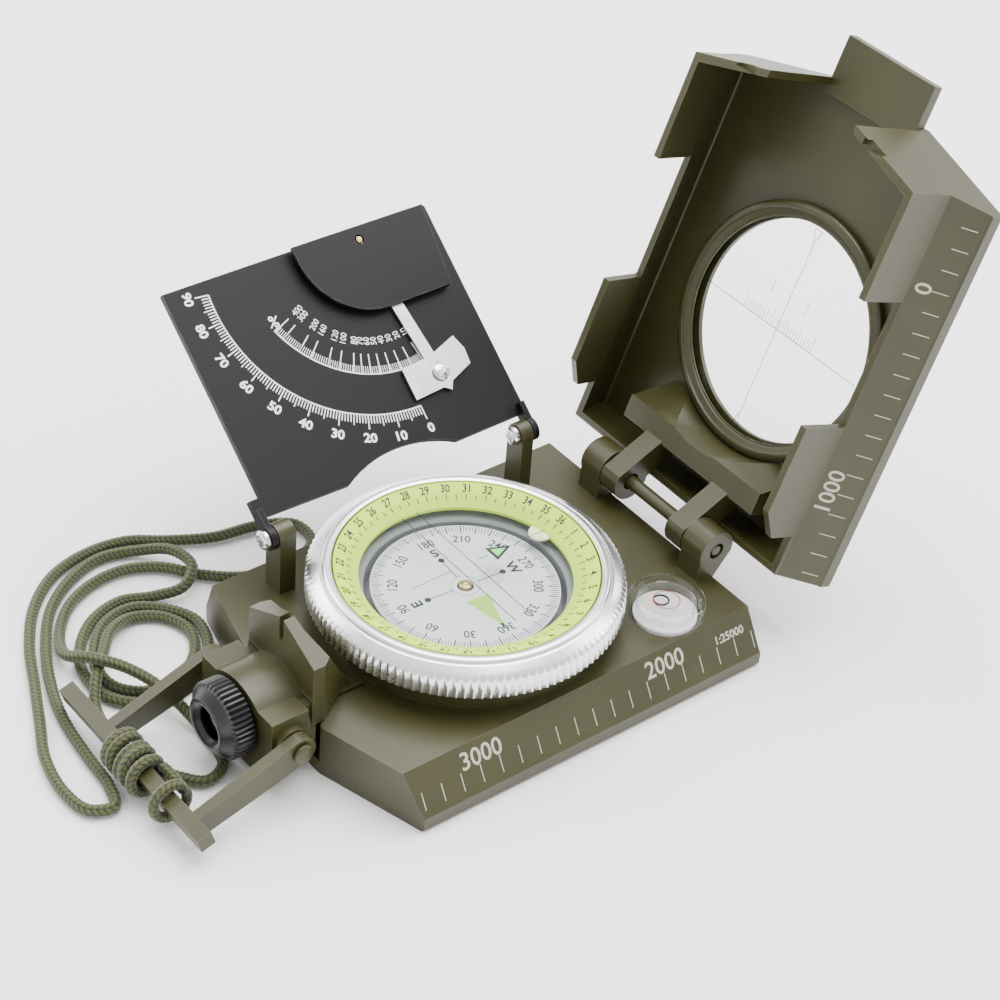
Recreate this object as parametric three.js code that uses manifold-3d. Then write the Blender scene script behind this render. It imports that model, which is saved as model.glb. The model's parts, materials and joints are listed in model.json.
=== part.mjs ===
// Sighting compass, open on a table: a cast base with a liquid capsule under a
// knurled bezel, a lid with a reticle window, a clinometer plate hinged on the
// left, a sight with a focusing eyepiece at the rear, a bail and a lanyard.
//
// Millimetres, +Z up. The origin is on the dial's axis, at the underside.
// +Y is the line of sight, from the eyepiece to the lid; +X is the ruler side.

import * as THREE from 'three';
import { mergeVertices } from 'three/addons/utils/BufferGeometryUtils.js';
import Module from 'manifold-3d';

const wasm = await Module();
wasm.setup();

// ---------------------------------------------------------------- sizes

const GAP = 0.3;                     // clearance between touching pieces
const TURN = 0.4;                    // clearance where one piece turns in another

const TICK = 4;                      // 100 m of map at 1:25000
const BASE_TICKS = 19;               // ruler ticks on the base
const LID_TICKS = 18;                // ruler ticks on the lid
const FIRST_TICK_Y = -30.2;

const BASE_HEIGHT = 10.4;            // top face above the table
const FRONT_Y = FIRST_TICK_Y + TICK * (BASE_TICKS - 1) + 0.8;
const REAR_CORNER_Y = -33.2;
const REAR_Y = -37.3;                // rear edge beside the sight's notch
const RIGHT_X = 26.5;                // top face, ruler side
const LEFT_X = -29.4;                // top face, clinometer side
const LIP_X = 31.3;                  // ruler lip
const LEFT_FOOT_X = -32.3;
const LIP_TOP = 3.4;                 // ruler chamfer starts here
const LIP_LEDGE = 0.5;
const BASE_WALL = 1.7;
const FOOT_EDGE = 0.6;               // small bevel round the underside
const NOTCH_HALF = 5.9;              // notch for the sight's foot
const NOTCH_FRONT_Y = -25.2;
const COVER_THICK = 1.2;
const COVER_INSET = 2.4;
const COVER_SCREW_R = 2.2;

const SEAT_R = 24.6;                 // boss that carries the bezel
const SEAT_TOP = 14.5;
const CAPSULE_R = 22.3;
const CAPSULE_BORE = 17.6;
const CAPSULE_FLOOR = 1.5;
const CAPSULE_BOTTOM = 10.1;
const CAPSULE_TOP = 16.5;
const CRYSTAL_THICK = 0.5;
const CARD_R = 16.5;
const CARD_THICK = 0.5;
const CARD_TOP = 16.1;
const CAP_R = 1.7;                   // jewel cap at the card's middle
const PIN_R = 0.45;

const BEZEL_R = 27.7;                // over the knurl
const BEZEL_TEETH = 120;
const TOOTH_DEPTH = 0.45;
const BEZEL_BOTTOM = 14.9;
const KNURL_TOP = 19.0;
const BEZEL_TOP = 21.0;
const BEZEL_CROWN_R = 24.3;          // highest ring of the polished cone
const SCALE_OUTER_R = 22.9;          // lime degree ring, a shallow funnel
const SCALE_INNER_R = 18.5;
const SCALE_OUTER_Z = 20.8;
const SCALE_INNER_Z = 18.5;
const SCALE_THICK = 0.6;
const SCALE_TAB_DEG = 97;            // index tab, from +X
const SCALE_TAB_R = 16.9;
const BEZEL_CRYSTAL_R = 20.6;        // window over the dial, inside the funnel
const BEZEL_CRYSTAL_Z = 20.3;

const LEVEL_X = 20.1;                // round spirit level
const LEVEL_Y = 28.8;
const LEVEL_R = 7;
const LEVEL_TOP = 14.4;
const LEVEL_BASE_THICK = 1;

const HINGE_Y = 43.1;                // lid hinge axis
const HINGE_Z = 15.8;
const BARREL_R = 3.8;
const HINGE_PIN_R = 1.3;
const KNUCKLE_IN = 11.4;             // base knuckles, from the middle
const KNUCKLE_OUT = 16.7;
const ARM_IN = 6.9;                  // lid arms, between the knuckles
const ARM_OUT = 11.1;
const LID_ANGLE = 69;                // degrees up from lying flat open

const LID_WALL = 1.4;
const LID_FLOOR = 1.8;
const LID_RIM = 20.3;                // free edge of the side walls
const LID_NEAR_Y = 2 * HINGE_Y - FRONT_Y + 0.4;
const LID_CORNER_Y = 2 * HINGE_Y - REAR_CORNER_Y - 0.6;
const LID_END_Y = 2 * HINGE_Y - REAR_Y - 0.6;
const LID_END_HALF = 10.6;           // gap in the end wall for the sight
const TONGUE_Y = LID_END_Y + 7.7;    // thumb tongue
const TONGUE_X = [-11.3, 9.7];
const CUTOUT_HALF = 12.2;            // side cut-outs that bare the bezel
const WAIST_Z = 10;                  // where the ruler chamfer meets the wall
const BLOCK_HALF = 17.5;             // hinge block across the lid's near end
const BLOCK_Y0 = 50.9;
const BLOCK_Y1 = 55.3;
const BLOCK_Z = 12;

const WINDOW_Y = 78.3;
const WINDOW_R = 20.4;
const WINDOW_SEAT_R = 22;
const WINDOW_RING_R = 23.4;
const GLASS_THICK = 1;
const RING_TOP = 3.6;

const TILT_X = -23;                  // clinometer hinge axis
const TILT_Z = 22.2;
const TILT_LEAN = 52;                // plate's lean outwards from upright
const PLATE_Y0 = -23.4;
const PLATE_Y1 = 32.7;
const PLATE_FOOT = 3.1;              // from the axis to the plate's lower edge
const PLATE_TOP = 45.6;
const PLATE_THICK = 1.1;
const TAB_THICK = 1.1;
const EAR_R = 2.2;
const REAR_EAR_Y = [-24.3, -21];
const FRONT_EAR_Y = [28.4, 30.9];
const TILT_SCREW_R = 1.1;
const PENDULUM_Y = 16.1;             // pendulum pivot on the plate
const PENDULUM_S = 43.3;
const PENDULUM_ANGLE = 6.8;          // hangs this far towards +Y at rest
const HOOD_R = 13.4;
const HOOD_TOP = 1.75;

const SIGHT_HALF = 9.4;
const SIGHT_Y = -38.3;               // rear face of the upright sight
const SIGHT_THICK = 2.2;
const SIGHT_SHOULDER = 22.8;
const SIGHT_PEAK = 27.4;
const SLOT_HALF = 0.6;
const SLOT_FOOT = 22.2;
const DRUM_Z = 8.1;                  // round back of the sight
const DRUM_R = 9.7;
const DRUM_END_Y = -46.9;
const EYE_Z = 10.9;                  // eyepiece axis
const WING_HALF = 10.3;
const WING_TOP = 15.6;
const KNOB_R = 7;
const KNOB_TEETH = 44;
const KNOB_Y = [-47.3, -51.4];      // the knurled part
const KNOB_END_Y = -53;
const KNOB_END_R = 4.9;
const EYE_R = 3.6;

const BAIL_Y = -43.4;                // bail pivot
const BAIL_Z = 10.9;
const BAIL_DROP = 18;                // degrees below level at rest
const BAIL_IN = 11.8;                // inner face of an arm
const BAIL_OUT = 13.9;
const BAIL_REACH = 20;               // pivot to the crossbar's near side
const BAIL_DEEP = 5.4;
const CROSSBAR_X = [-25, 17.4];
const CROSSBAR_WIDE = 2.8;
const CROSSBAR_DEEP = 3;
const RIVET_R = 1;

const CORD_D = 2.05;                  // braided lanyard
const CORD_STEPS = 84;
const HITCH_R = 4;                   // the lanyard's turns round the crossbar
const HITCH_X = [-10.3, 1.5];
const LOOP_X = [5, 8.2];

// Where the lanyard lies, from the hitch to the eyepiece, out along three lanes
// beside the base, round the coil and back to the hitch: x, y and height.
const CORD_ROUTE = [
  [-3.4, -59.6, 1.6], [-0.6, -57.6, 1.3], [2.6, -54.4, 1.3], [1, -50.2, 1.3], [-5, -48.7, 1.3],
  [-12, -48.8, 2.4], [-18.6, -50.6, 4.6], [-24.5, -53.6, 5.8], [-30, -57, 5.4],
  [-35, -58.6, 3], [-41.4, -56.2, 1.3], [-47.2, -51, 1.3], [-50.3, -44.5, 1.3],
  [-50.6, -37.6, 1.3], [-47.6, -31.6, 1.3], [-42, -26.8, 1.3],
  [-37, -20, 1.3], [-35.8, -12, 1.3], [-38.5, -5, 1.3], [-44.5, -4.5, 1.3], [-48, -10.5, 1.3],
  [-49.6, -19, 1.3], [-53.4, -26.6, 1.3], [-57.4, -33.2, 1.3], [-58.2, -41, 1.3],
  [-56, -49, 1.3], [-50.4, -56, 1.3], [-42, -61.8, 1.3], [-33, -66, 1.3],
  [-24.4, -70, 1.3], [-16.4, -73.6, 1.3], [-8, -75, 1.3], [-2.4, -73.8, 1.3], [-0.8, -70, 1.3],
  [-5.4, -68.2, 1.3], [-13, -67.6, 1.3], [-23, -66.3, 1.3], [-32.2, -63.4, 1.3],
  [-41.2, -59, 1.3], [-48.6, -53.6, 1.3], [-53.6, -46.6, 1.3], [-55.7, -39.6, 1.3],
  [-53.6, -33, 1.6], [-48.6, -28.8, 3.4], [-42.6, -28.2, 3.6], [-39.6, -32, 2.6],
  [-41.6, -37, 1.3], [-43.6, -42.6, 1.3], [-42, -49, 1.3], [-37.6, -54.2, 1.3],
  [-31.2, -57.6, 1.3], [-24.4, -57.6, 1.3], [-19.4, -53.6, 1.3], [-18, -47.4, 1.3],
  [-20.4, -41, 1.3], [-25.6, -35.8, 1.3], [-32, -34.2, 1.3], [-37.2, -36.8, 1.3],
  [-41, -41.8, 1.3], [-40.2, -47.6, 1.3], [-36.2, -52.2, 1.3], [-30.4, -55.2, 1.3],
  [-24.8, -54.8, 1.3], [-21, -50.6, 1.3], [-21.2, -44.6, 1.3], [-25, -39, 1.3],
  [-30.8, -36.6, 1.3], [-36.2, -38.8, 1.3], [-38.6, -43.6, 1.5], [-36.2, -49, 2.8],
  [-31.4, -53.4, 3.6], [-27, -57.4, 3.6], [-22, -60.6, 1.6], [-15.4, -61.6, 1.25],
  [-10.8, -61.9, 1.25],
];

// ---------------------------------------------------------------- finishes

const paint = (color, roughness, metalness, more = {}) =>
  new THREE.MeshStandardMaterial({ color, roughness, metalness, ...more });

const FINISH = {
  olive: paint(0x4c4a26, 0.5, 0.3),
  black: paint(0x16171a, 0.45, 0.3),
  silver: paint(0xd8dadd, 0.22, 1),
  chrome: paint(0xe6e6e8, 0.12, 1),
  brass: paint(0xb78a3c, 0.3, 1),
  white: paint(0xf1efec, 0.6, 0),
  lime: paint(0xdcf27a, 0.5, 0),
  rubber: paint(0x17171a, 0.8, 0),
  magnet: paint(0x55575c, 0.4, 0.9),
  glass: paint(0xf4f8fa, 0.04, 0, { transparent: true, opacity: 0.25 }),
  cord: paint(0x5a6a33, 0.9, 0),
};

// ---------------------------------------------------------------- solids

/** Turns a closed geometry into a manifold solid. */
function solid(geometry) {
  const bare = geometry.clone();
  bare.deleteAttribute('normal');
  bare.deleteAttribute('uv');
  const merged = mergeVertices(bare, 1e-4);
  const corners = merged.index.array;
  const kept = [];
  for (let i = 0; i < corners.length; i += 3) {
    const [a, b, c] = [corners[i], corners[i + 1], corners[i + 2]];
    if (a !== b && b !== c && c !== a) kept.push(a, b, c);
  }
  const body = new wasm.Manifold(new wasm.Mesh({
    numProp: 3,
    vertProperties: new Float32Array(merged.attributes.position.array),
    triVerts: new Uint32Array(kept),
  }));
  return body;
}

/** Gives a solid back as a geometry. */
function geometryOf(body) {
  const mesh = body.getMesh();
  const geometry = new THREE.BufferGeometry();
  geometry.setAttribute('position', new THREE.BufferAttribute(mesh.vertProperties, 3));
  geometry.setIndex(new THREE.BufferAttribute(mesh.triVerts, 1));
  geometry.computeVertexNormals();
  return geometry;
}

const join = (first, ...rest) => rest.reduce((sum, body) => sum.add(body), first);
const cut = (first, ...rest) => rest.reduce((sum, body) => sum.subtract(body), first);

const shapeOf = (points) => new THREE.Shape(points.map(([a, b]) => new THREE.Vector2(a, b)));

const ALONG = {
  x: new THREE.Matrix4().makeBasis(
    new THREE.Vector3(0, 1, 0), new THREE.Vector3(0, 0, 1), new THREE.Vector3(1, 0, 0)),
  y: new THREE.Matrix4().makeBasis(
    new THREE.Vector3(0, 0, 1), new THREE.Vector3(1, 0, 0), new THREE.Vector3(0, 1, 0)),
  z: new THREE.Matrix4(),
};

/**
 * Extrudes an outline from one place to another along an axis. The outline's
 * two values are (y, z) along x, (z, x) along y and (x, y) along z.
 */
function prism(axis, outline, from, to) {
  const shape = outline instanceof THREE.Shape ? outline : shapeOf(outline);
  const geometry = new THREE.ExtrudeGeometry(shape, {
    depth: to - from, bevelEnabled: false, curveSegments: 16,
  });
  return solid(geometry.translate(0, 0, from).applyMatrix4(ALONG[axis]));
}

const box = (x, y, z) => solid(new THREE.BoxGeometry(x[1] - x[0], y[1] - y[0], z[1] - z[0])
  .translate((x[0] + x[1]) / 2, (y[0] + y[1]) / 2, (z[0] + z[1]) / 2));

/** A round bar along an axis, centred on the two other coordinates. */
function bar(axis, [a, b], radius, from, to, sides = 32) {
  const round = new THREE.CylinderGeometry(radius, radius, to - from, sides);
  const geometry = round.rotateX(Math.PI / 2).translate(a, b, (from + to) / 2);
  return solid(geometry.applyMatrix4(ALONG[axis]));
}

/** Turns a profile of (radius, height) points about Z. */
function turned(profile, sides = 72) {
  const points = [...profile, ...(profile[0][0] > 0 ? [profile[0]] : [])]
    .map(([r, z]) => new THREE.Vector2(r, z));
  return solid(new THREE.LatheGeometry(points, sides).rotateX(Math.PI / 2));
}

const ring = (outer, inner, z0, z1, sides = 72) =>
  turned([[inner, z0], [outer, z0], [outer, z1], [inner, z1]], sides);
const disc = (radius, z0, z1, sides = 72) =>
  turned([[0, z0], [radius, z0], [radius, z1], [0, z1]], sides);

const moved = (body, x, y, z) => body.translate([x, y, z]);
const radians = THREE.MathUtils.degToRad;

/** Points of an arc, from one angle to another in degrees. */
function arc([cx, cy], radius, from, to, steps = 12) {
  return Array.from({ length: steps + 1 }, (_, i) => {
    const angle = radians(from + ((to - from) * i) / steps);
    return [cx + radius * Math.cos(angle), cy + radius * Math.sin(angle)];
  });
}

/** Points of a toothed round outline, with a tooth's tip flattened a little. */
function toothed(radius, depth, teeth) {
  return Array.from({ length: teeth * 3 }, (_, i) => {
    const angle = (2 * Math.PI * i) / (teeth * 3);
    const r = i % 3 === 0 ? radius - depth : radius;
    return [r * Math.cos(angle), r * Math.sin(angle)];
  });
}

/** Adds a named piece to a group. */
function piece(group, name, body, finish) {
  const mesh = new THREE.Mesh(geometryOf(body), FINISH[finish]);
  mesh.name = name;
  group.add(mesh);
  return mesh;
}

// ---------------------------------------------------------------- base

/** The base's outline seen from above, drawn in by an inset. */
function basePlan(inset, right, left) {
  return [
    [right - inset, REAR_CORNER_Y + (right - RIGHT_X) * 0.45 + inset],
    [right - inset, FRONT_Y - inset],
    [left + inset, FRONT_Y - inset],
    [left + inset, REAR_CORNER_Y + (LEFT_X - left) * 0.45 + inset],
    [-WING_HALF, REAR_Y + inset],
    [WING_HALF, REAR_Y + inset],
  ];
}

/** The section of base and lid alike, from the flat outer face inwards. */
function caseSection(inset, height) {
  const top = height;
  const slope = (height - WAIST_Z) / 10;
  return [
    [inset, LEFT_FOOT_X + FOOT_EDGE + inset],
    [inset + FOOT_EDGE, LEFT_FOOT_X + inset],
    [LIP_TOP, LEFT_FOOT_X + inset],
    [WAIST_Z, LEFT_X + inset],
    ...(top > WAIST_Z + 1 ? [[top, LEFT_X + 2 * slope + inset]] : [[top, LEFT_X + inset]]),
    [top, RIGHT_X - inset],
    ...(top > WAIST_Z + 1 ? [[WAIST_Z, RIGHT_X - inset]] : []),
    [LIP_TOP, LIP_X - LIP_LEDGE - inset],
    [LIP_TOP - 0.4, LIP_X - inset],
    [inset + FOOT_EDGE, LIP_X - inset],
    [inset, LIP_X - FOOT_EDGE - inset],
  ];
}

/** Half of the hinge seen along X: a round eye on a foot. */
function hingeEar(footY0, footY1, footZ) {
  return [
    [footY1, footZ],
    ...arc([HINGE_Y, HINGE_Z], BARREL_R, -20, 200, 16),
    [footY0, footZ],
  ];
}

function buildBase(root) {
  const sides = prism('y', caseSection(0, BASE_HEIGHT), REAR_Y - 1, FRONT_Y + 1);
  const plan = prism('z', basePlan(0, LIP_X, LEFT_FOOT_X), -1, BASE_HEIGHT + 1);
  const hollow = prism('y', caseSection(BASE_WALL, BASE_HEIGHT - BASE_WALL),
    REAR_Y, FRONT_Y).intersect(prism('z', basePlan(BASE_WALL, LIP_X, LEFT_FOOT_X), -1, BASE_HEIGHT));
  const opening = prism('z', basePlan(COVER_INSET, LIP_X - 1, LEFT_FOOT_X + 1),
    -1, BASE_WALL + 1);
  const notchHalf = NOTCH_HALF;
  const notch = prism('z', [
    [-WING_HALF, REAR_Y - 2], [WING_HALF, REAR_Y - 2], [WING_HALF, REAR_Y],
    [notchHalf, REAR_Y + 3.4], [notchHalf, NOTCH_FRONT_Y],
    [-notchHalf, NOTCH_FRONT_Y], [-notchHalf, REAR_Y + 3.4], [-WING_HALF, REAR_Y],
  ], 2.6, BASE_HEIGHT + 1);
  const notchBox = prism('z', [
    [-WING_HALF, REAR_Y - 2], [WING_HALF, REAR_Y - 2], [WING_HALF, REAR_Y + BASE_WALL],
    [notchHalf + BASE_WALL, REAR_Y + 4.4], [notchHalf + BASE_WALL, NOTCH_FRONT_Y + BASE_WALL],
    [-notchHalf - BASE_WALL, NOTCH_FRONT_Y + BASE_WALL], [-notchHalf - BASE_WALL, REAR_Y + 4.4],
    [-WING_HALF, REAR_Y + BASE_WALL],
  ], BASE_WALL, BASE_HEIGHT);
  let casing = cut(sides.intersect(plan), hollow, opening);
  casing = join(casing, notchBox.intersect(plan).intersect(sides),
    ring(SEAT_R, CAPSULE_R - 2, BASE_HEIGHT - BASE_WALL, SEAT_TOP));
  const bosses = coverScrewPlaces().map(([x, y]) =>
    moved(ring(3.2, 0, COVER_THICK + GAP, BASE_HEIGHT - 1, 24), x, y, 0));
  casing = join(casing, ...bosses);
  casing = cut(casing, notch,
    disc(CAPSULE_R + GAP, CAPSULE_BOTTOM - GAP, SEAT_TOP + 1),
    disc(CAPSULE_R - 2.2, 0, SEAT_TOP + 1));
  const lug = hingeEar(HINGE_Y - 4, FRONT_Y - 0.01, BASE_HEIGHT - 1);
  for (const side of [-1, 1]) {
    const [x0, x1] = [side * KNUCKLE_IN, side * KNUCKLE_OUT].sort((a, b) => a - b);
    casing = casing.add(prism('x', lug, x0, x1));
  }
  for (const [y0, y1] of [REAR_EAR_Y, FRONT_EAR_Y]) casing = casing.add(tiltEar(y0, y1));
  casing = cut(casing,
    bar('x', [HINGE_Y, HINGE_Z], HINGE_PIN_R + GAP, -KNUCKLE_OUT - 1, KNUCKLE_OUT + 1, 24),
    bar('y', [TILT_Z, TILT_X], TILT_SCREW_R + GAP, PLATE_Y0 - 3, PLATE_Y1 + 3, 20),
    ...coverScrewPlaces().map(([x, y]) => moved(disc(1.2 + GAP, -1, 7, 20), x, y, 0)),
    moved(disc(LEVEL_R - 1, BASE_HEIGHT - 0.6, BASE_HEIGHT + 1, 40), LEVEL_X, LEVEL_Y, 0));
  piece(root, 'base_casing', casing, 'olive');

  let cover = prism('z', basePlan(COVER_INSET + GAP, LIP_X - 1, LEFT_FOOT_X + 1), 0, COVER_THICK);
  for (const [x, y] of coverScrewPlaces()) {
    cover = cut(cover, moved(disc(COVER_SCREW_R + GAP, -1, 0.8, 24), x, y, 0),
      moved(disc(1.2 + GAP, -1, 2, 20), x, y, 0));
  }
  piece(root, 'bottom_cover', cover, 'black');
  coverScrewPlaces().forEach(([x, y], i) => {
    const head = turned([[0, 0.1], [COVER_SCREW_R, 0.1], [COVER_SCREW_R, 0.5], [1.2, 0.5],
      [1.2, 6.5], [0, 6.5]], 24);
    const slots = join(box([-1.5, 1.5], [-0.25, 0.25], [-1, 0.35]),
      box([-0.25, 0.25], [-1.5, 1.5], [-1, 0.35]));
    piece(root, `cover_screw_${i + 1}`, moved(cut(head, slots), x, y, 0), 'chrome');
  });
}

/** The bottom cover's four screws. */
const coverScrewPlaces = () => [
  [RIGHT_X - 4.5, REAR_CORNER_Y + 6], [LEFT_X + 5, REAR_CORNER_Y + 6],
  [RIGHT_X - 4.5, FRONT_Y - 6.5], [LEFT_X + 5, FRONT_Y - 6.5],
];

/** An ear on the base that carries the clinometer plate, rounded on top. */
function tiltEar(y0, y1) {
  return prism('y', [
    [BASE_HEIGHT - 0.8, TILT_X - EAR_R], [BASE_HEIGHT - 0.8, TILT_X + EAR_R],
    ...arc([TILT_Z, TILT_X], EAR_R, 90, -90, 14),
  ].reverse(), y0, y1);
}

// ---------------------------------------------------------------- dial

function buildCapsule(root) {
  const cup = turned([
    [0, CAPSULE_BOTTOM], [CAPSULE_R, CAPSULE_BOTTOM], [CAPSULE_R, CAPSULE_TOP],
    [CAPSULE_BORE, CAPSULE_TOP], [CAPSULE_BORE, CAPSULE_BOTTOM + CAPSULE_FLOOR],
    [0, CAPSULE_BOTTOM + CAPSULE_FLOOR],
  ]);
  piece(root, 'capsule_cup', cup, 'white');
  piece(root, 'capsule_crystal',
    disc(CAPSULE_R - 2, CAPSULE_TOP + GAP, CAPSULE_TOP + GAP + CRYSTAL_THICK), 'glass');
  const pinFoot = CAPSULE_BOTTOM + CAPSULE_FLOOR + GAP;
  piece(root, 'pivot_pin', turned([
    [0, pinFoot], [1.4, pinFoot], [1.4, pinFoot + 0.6], [PIN_R, pinFoot + 0.9],
    [PIN_R, CARD_TOP - 1.1], [0.08, CARD_TOP - 0.6], [0, CARD_TOP - 0.6],
  ], 24), 'chrome');
}

function buildCard(root) {
  const card = new THREE.Group();
  root.add(card);
  const bottom = CARD_TOP - CARD_THICK;
  piece(card, 'compass_card', ring(CARD_R, CAP_R - 0.5 + GAP, bottom, CARD_TOP), 'white');
  const hub = bottom - GAP;
  piece(card, 'jewel_cap', turned([
    [PIN_R + 0.35, hub - 1.2], [CAP_R + 0.6, hub - 1.2], [CAP_R + 0.6, hub], [CAP_R - 0.5, hub],
    [CAP_R - 0.5, CARD_TOP + 0.25], [0.5, CARD_TOP + 0.45], [0, CARD_TOP + 0.45],
    [0, CARD_TOP - 0.2], [PIN_R + 0.35, CARD_TOP - 0.6],
  ], 24), 'brass');
  const magnet = cut(box([-11, 11], [-1.6, 1.6], [hub - 1.4, hub]),
    disc(CAP_R + 0.6 + GAP, 0, 30, 32));
  const web = ring(CAP_R + 2.2, CAP_R + 0.6 + GAP, hub - 1.4, hub, 32);
  piece(card, 'card_magnet', join(magnet, web), 'magnet');
}

function buildBezel(root) {
  const bezel = new THREE.Group();
  root.add(bezel);

  const knurl = prism('z', toothed(BEZEL_R, TOOTH_DEPTH, BEZEL_TEETH), BEZEL_BOTTOM, BEZEL_TOP);
  const body = turned([
    [CAPSULE_R + TURN, BEZEL_BOTTOM], [BEZEL_R + 1, BEZEL_BOTTOM], [BEZEL_R + 1, KNURL_TOP - 0.5],
    [BEZEL_CROWN_R, BEZEL_TOP], [SCALE_OUTER_R + GAP + 0.3, BEZEL_TOP],
    [SCALE_OUTER_R + GAP, BEZEL_TOP - 0.3],
    [SCALE_OUTER_R + GAP, SCALE_OUTER_Z - SCALE_THICK - GAP - 0.2],
    [CAPSULE_R + TURN, SCALE_OUTER_Z - SCALE_THICK - GAP - 0.5],
  ], 120);
  piece(bezel, 'knurled_bezel', body.intersect(knurl), 'silver');

  const funnel = (thick) => turned([
    [SCALE_INNER_R, SCALE_INNER_Z - thick], [SCALE_OUTER_R, SCALE_OUTER_Z - thick],
    [SCALE_OUTER_R, SCALE_OUTER_Z], [SCALE_INNER_R, SCALE_INNER_Z],
  ], 96);
  const tabX = SCALE_TAB_R * Math.cos(radians(SCALE_TAB_DEG));
  const tabY = SCALE_TAB_R * Math.sin(radians(SCALE_TAB_DEG));
  const tab = moved(disc(2.1, SCALE_INNER_Z - SCALE_THICK + 0.05, SCALE_INNER_Z - 0.05, 24),
    tabX * 1.07, tabY * 1.07, 0);
  piece(bezel, 'degree_ring', join(funnel(SCALE_THICK), tab), 'lime');

  piece(bezel, 'bezel_crystal',
    disc(BEZEL_CRYSTAL_R, BEZEL_CRYSTAL_Z - 0.4, BEZEL_CRYSTAL_Z, 96), 'glass');
}

function buildLevel(root) {
  const low = BASE_HEIGHT - 0.6 + GAP;
  piece(root, 'level_base', moved(disc(LEVEL_R - 1 - GAP, low, low + LEVEL_BASE_THICK, 40),
    LEVEL_X, LEVEL_Y, 0), 'white');
  const lens = turned([
    [0, low + LEVEL_BASE_THICK + GAP], [LEVEL_R, low + LEVEL_BASE_THICK + GAP],
    [LEVEL_R, LEVEL_TOP - 0.8], [LEVEL_R - 0.8, LEVEL_TOP], [0, LEVEL_TOP + 0.2],
  ], 48);
  piece(root, 'level_vial', moved(lens, LEVEL_X, LEVEL_Y, 0), 'glass');
}

// ---------------------------------------------------------------- lid

/** The lid's outline seen from above as it lies flat open. */
function lidPlan(inset) {
  return [
    [LIP_X - inset, LID_NEAR_Y + inset],
    [LIP_X - inset, LID_CORNER_Y - 1.6 - inset],
    [WING_HALF, LID_END_Y - inset],
    [-WING_HALF, LID_END_Y - inset],
    [LEFT_FOOT_X + inset, LID_CORNER_Y - 1.6 - inset],
    [LEFT_FOOT_X + inset, LID_NEAR_Y + inset],
  ];
}

function buildLid(root) {
  const lid = new THREE.Group();
  lid.position.set(0, HINGE_Y, HINGE_Z);
  lid.rotation.x = radians(LID_ANGLE);
  root.add(lid);
  const flat = new THREE.Group();           // places as the lid lies flat open
  flat.position.set(0, -HINGE_Y, -HINGE_Z);
  lid.add(flat);

  const outer = prism('y', caseSection(0, LID_RIM), LID_NEAR_Y, LID_END_Y + 1)
    .intersect(prism('z', lidPlan(0), -1, LID_RIM + 1));
  const inner = prism('y', caseSection(LID_WALL, LID_RIM + 2), 0, LID_END_Y)
    .intersect(prism('z', lidPlan(LID_WALL), LID_FLOOR, LID_RIM + 3));
  const centre = 2 * HINGE_Y;               // over the dial's axis when closed
  const cutout = (side) => box(side > 0 ? [10, 40] : [-40, -10],
    [centre - CUTOUT_HALF, centre + CUTOUT_HALF], [WAIST_Z - (side > 0 ? 0 : 0.6), LID_RIM + 5]);
  let shell = cut(outer, inner, cutout(1), cutout(-1),
    box([-LID_END_HALF, LID_END_HALF], [LID_END_Y - 12, LID_END_Y + 5], [LID_FLOOR + 1, 40]),
    box([-40, 40], [0, LID_NEAR_Y + 8], [LID_FLOOR + 9, 40]),
    prism('x', [[0, LID_FLOOR + 8], [LID_NEAR_Y - 1, LID_FLOOR + 8], [LID_NEAR_Y + 14, LID_RIM + 0.5],
      [LID_NEAR_Y + 14, 60], [0, 60]], -40, 40));
  const nearWall = box([-BLOCK_HALF, BLOCK_HALF], [BLOCK_Y0, BLOCK_Y1], [0.4, BLOCK_Z]);
  const ramp = prism('x', [[BLOCK_Y1 - 0.2, 0.4], [BLOCK_Y1 + 3.2, 0.4], [BLOCK_Y1 - 0.2, BLOCK_Z]],
    -BLOCK_HALF, BLOCK_HALF);
  const tongue = box(TONGUE_X, [LID_END_Y - 3, TONGUE_Y], [0.8, LID_FLOOR + 1]);
  shell = join(shell, nearWall, ramp, tongue);
  const arm = [
    ...arc([HINGE_Y, HINGE_Z], BARREL_R, 75, 285, 16),
    [BLOCK_Y0 + 0.5, 4.5], [BLOCK_Y0 + 0.5, BLOCK_Z],
  ];
  for (const side of [-1, 1]) {
    const [x0, x1] = [side * ARM_IN, side * ARM_OUT].sort((a, b) => a - b);
    shell = shell.add(prism('x', arm, x0, x1));
  }
  shell = cut(shell,
    bar('x', [HINGE_Y, HINGE_Z], HINGE_PIN_R + TURN, -30, 30, 24),
    moved(disc(WINDOW_R - 0.3, -1, 20), 0, WINDOW_Y, 0),
    moved(disc(WINDOW_SEAT_R + GAP, 0.9, 20), 0, WINDOW_Y, 0),
    moved(disc(WINDOW_RING_R + GAP, 0.9 + GAP + GLASS_THICK, 20), 0, WINDOW_Y, 0));
  for (const x of [-15.5, 15.5]) {
    shell = cut(shell, box([x - 2.4, x + 2.4], [LID_END_Y - 5, LID_END_Y + 3],
      [LID_RIM - 1.2, LID_RIM + 2]).intersect(box([-40, 40], [LID_END_Y - 2.6, LID_END_Y - 1], [0, 40])));
  }
  piece(flat, 'lid', shell, 'olive');

  const glassTop = 0.9 + GAP + GLASS_THICK;
  piece(flat, 'window_glass',
    moved(disc(WINDOW_SEAT_R, 0.9 + GAP, glassTop), 0, WINDOW_Y, 0), 'glass');
  piece(flat, 'window_ring', moved(turned([
    [WINDOW_R, glassTop + GAP], [WINDOW_RING_R, glassTop + GAP], [WINDOW_RING_R, RING_TOP - 0.5],
    [WINDOW_RING_R - 0.6, RING_TOP], [WINDOW_R + 1, RING_TOP], [WINDOW_R, RING_TOP - 0.7],
  ]), 0, WINDOW_Y, 0), 'olive');
  return flat;
}

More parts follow.
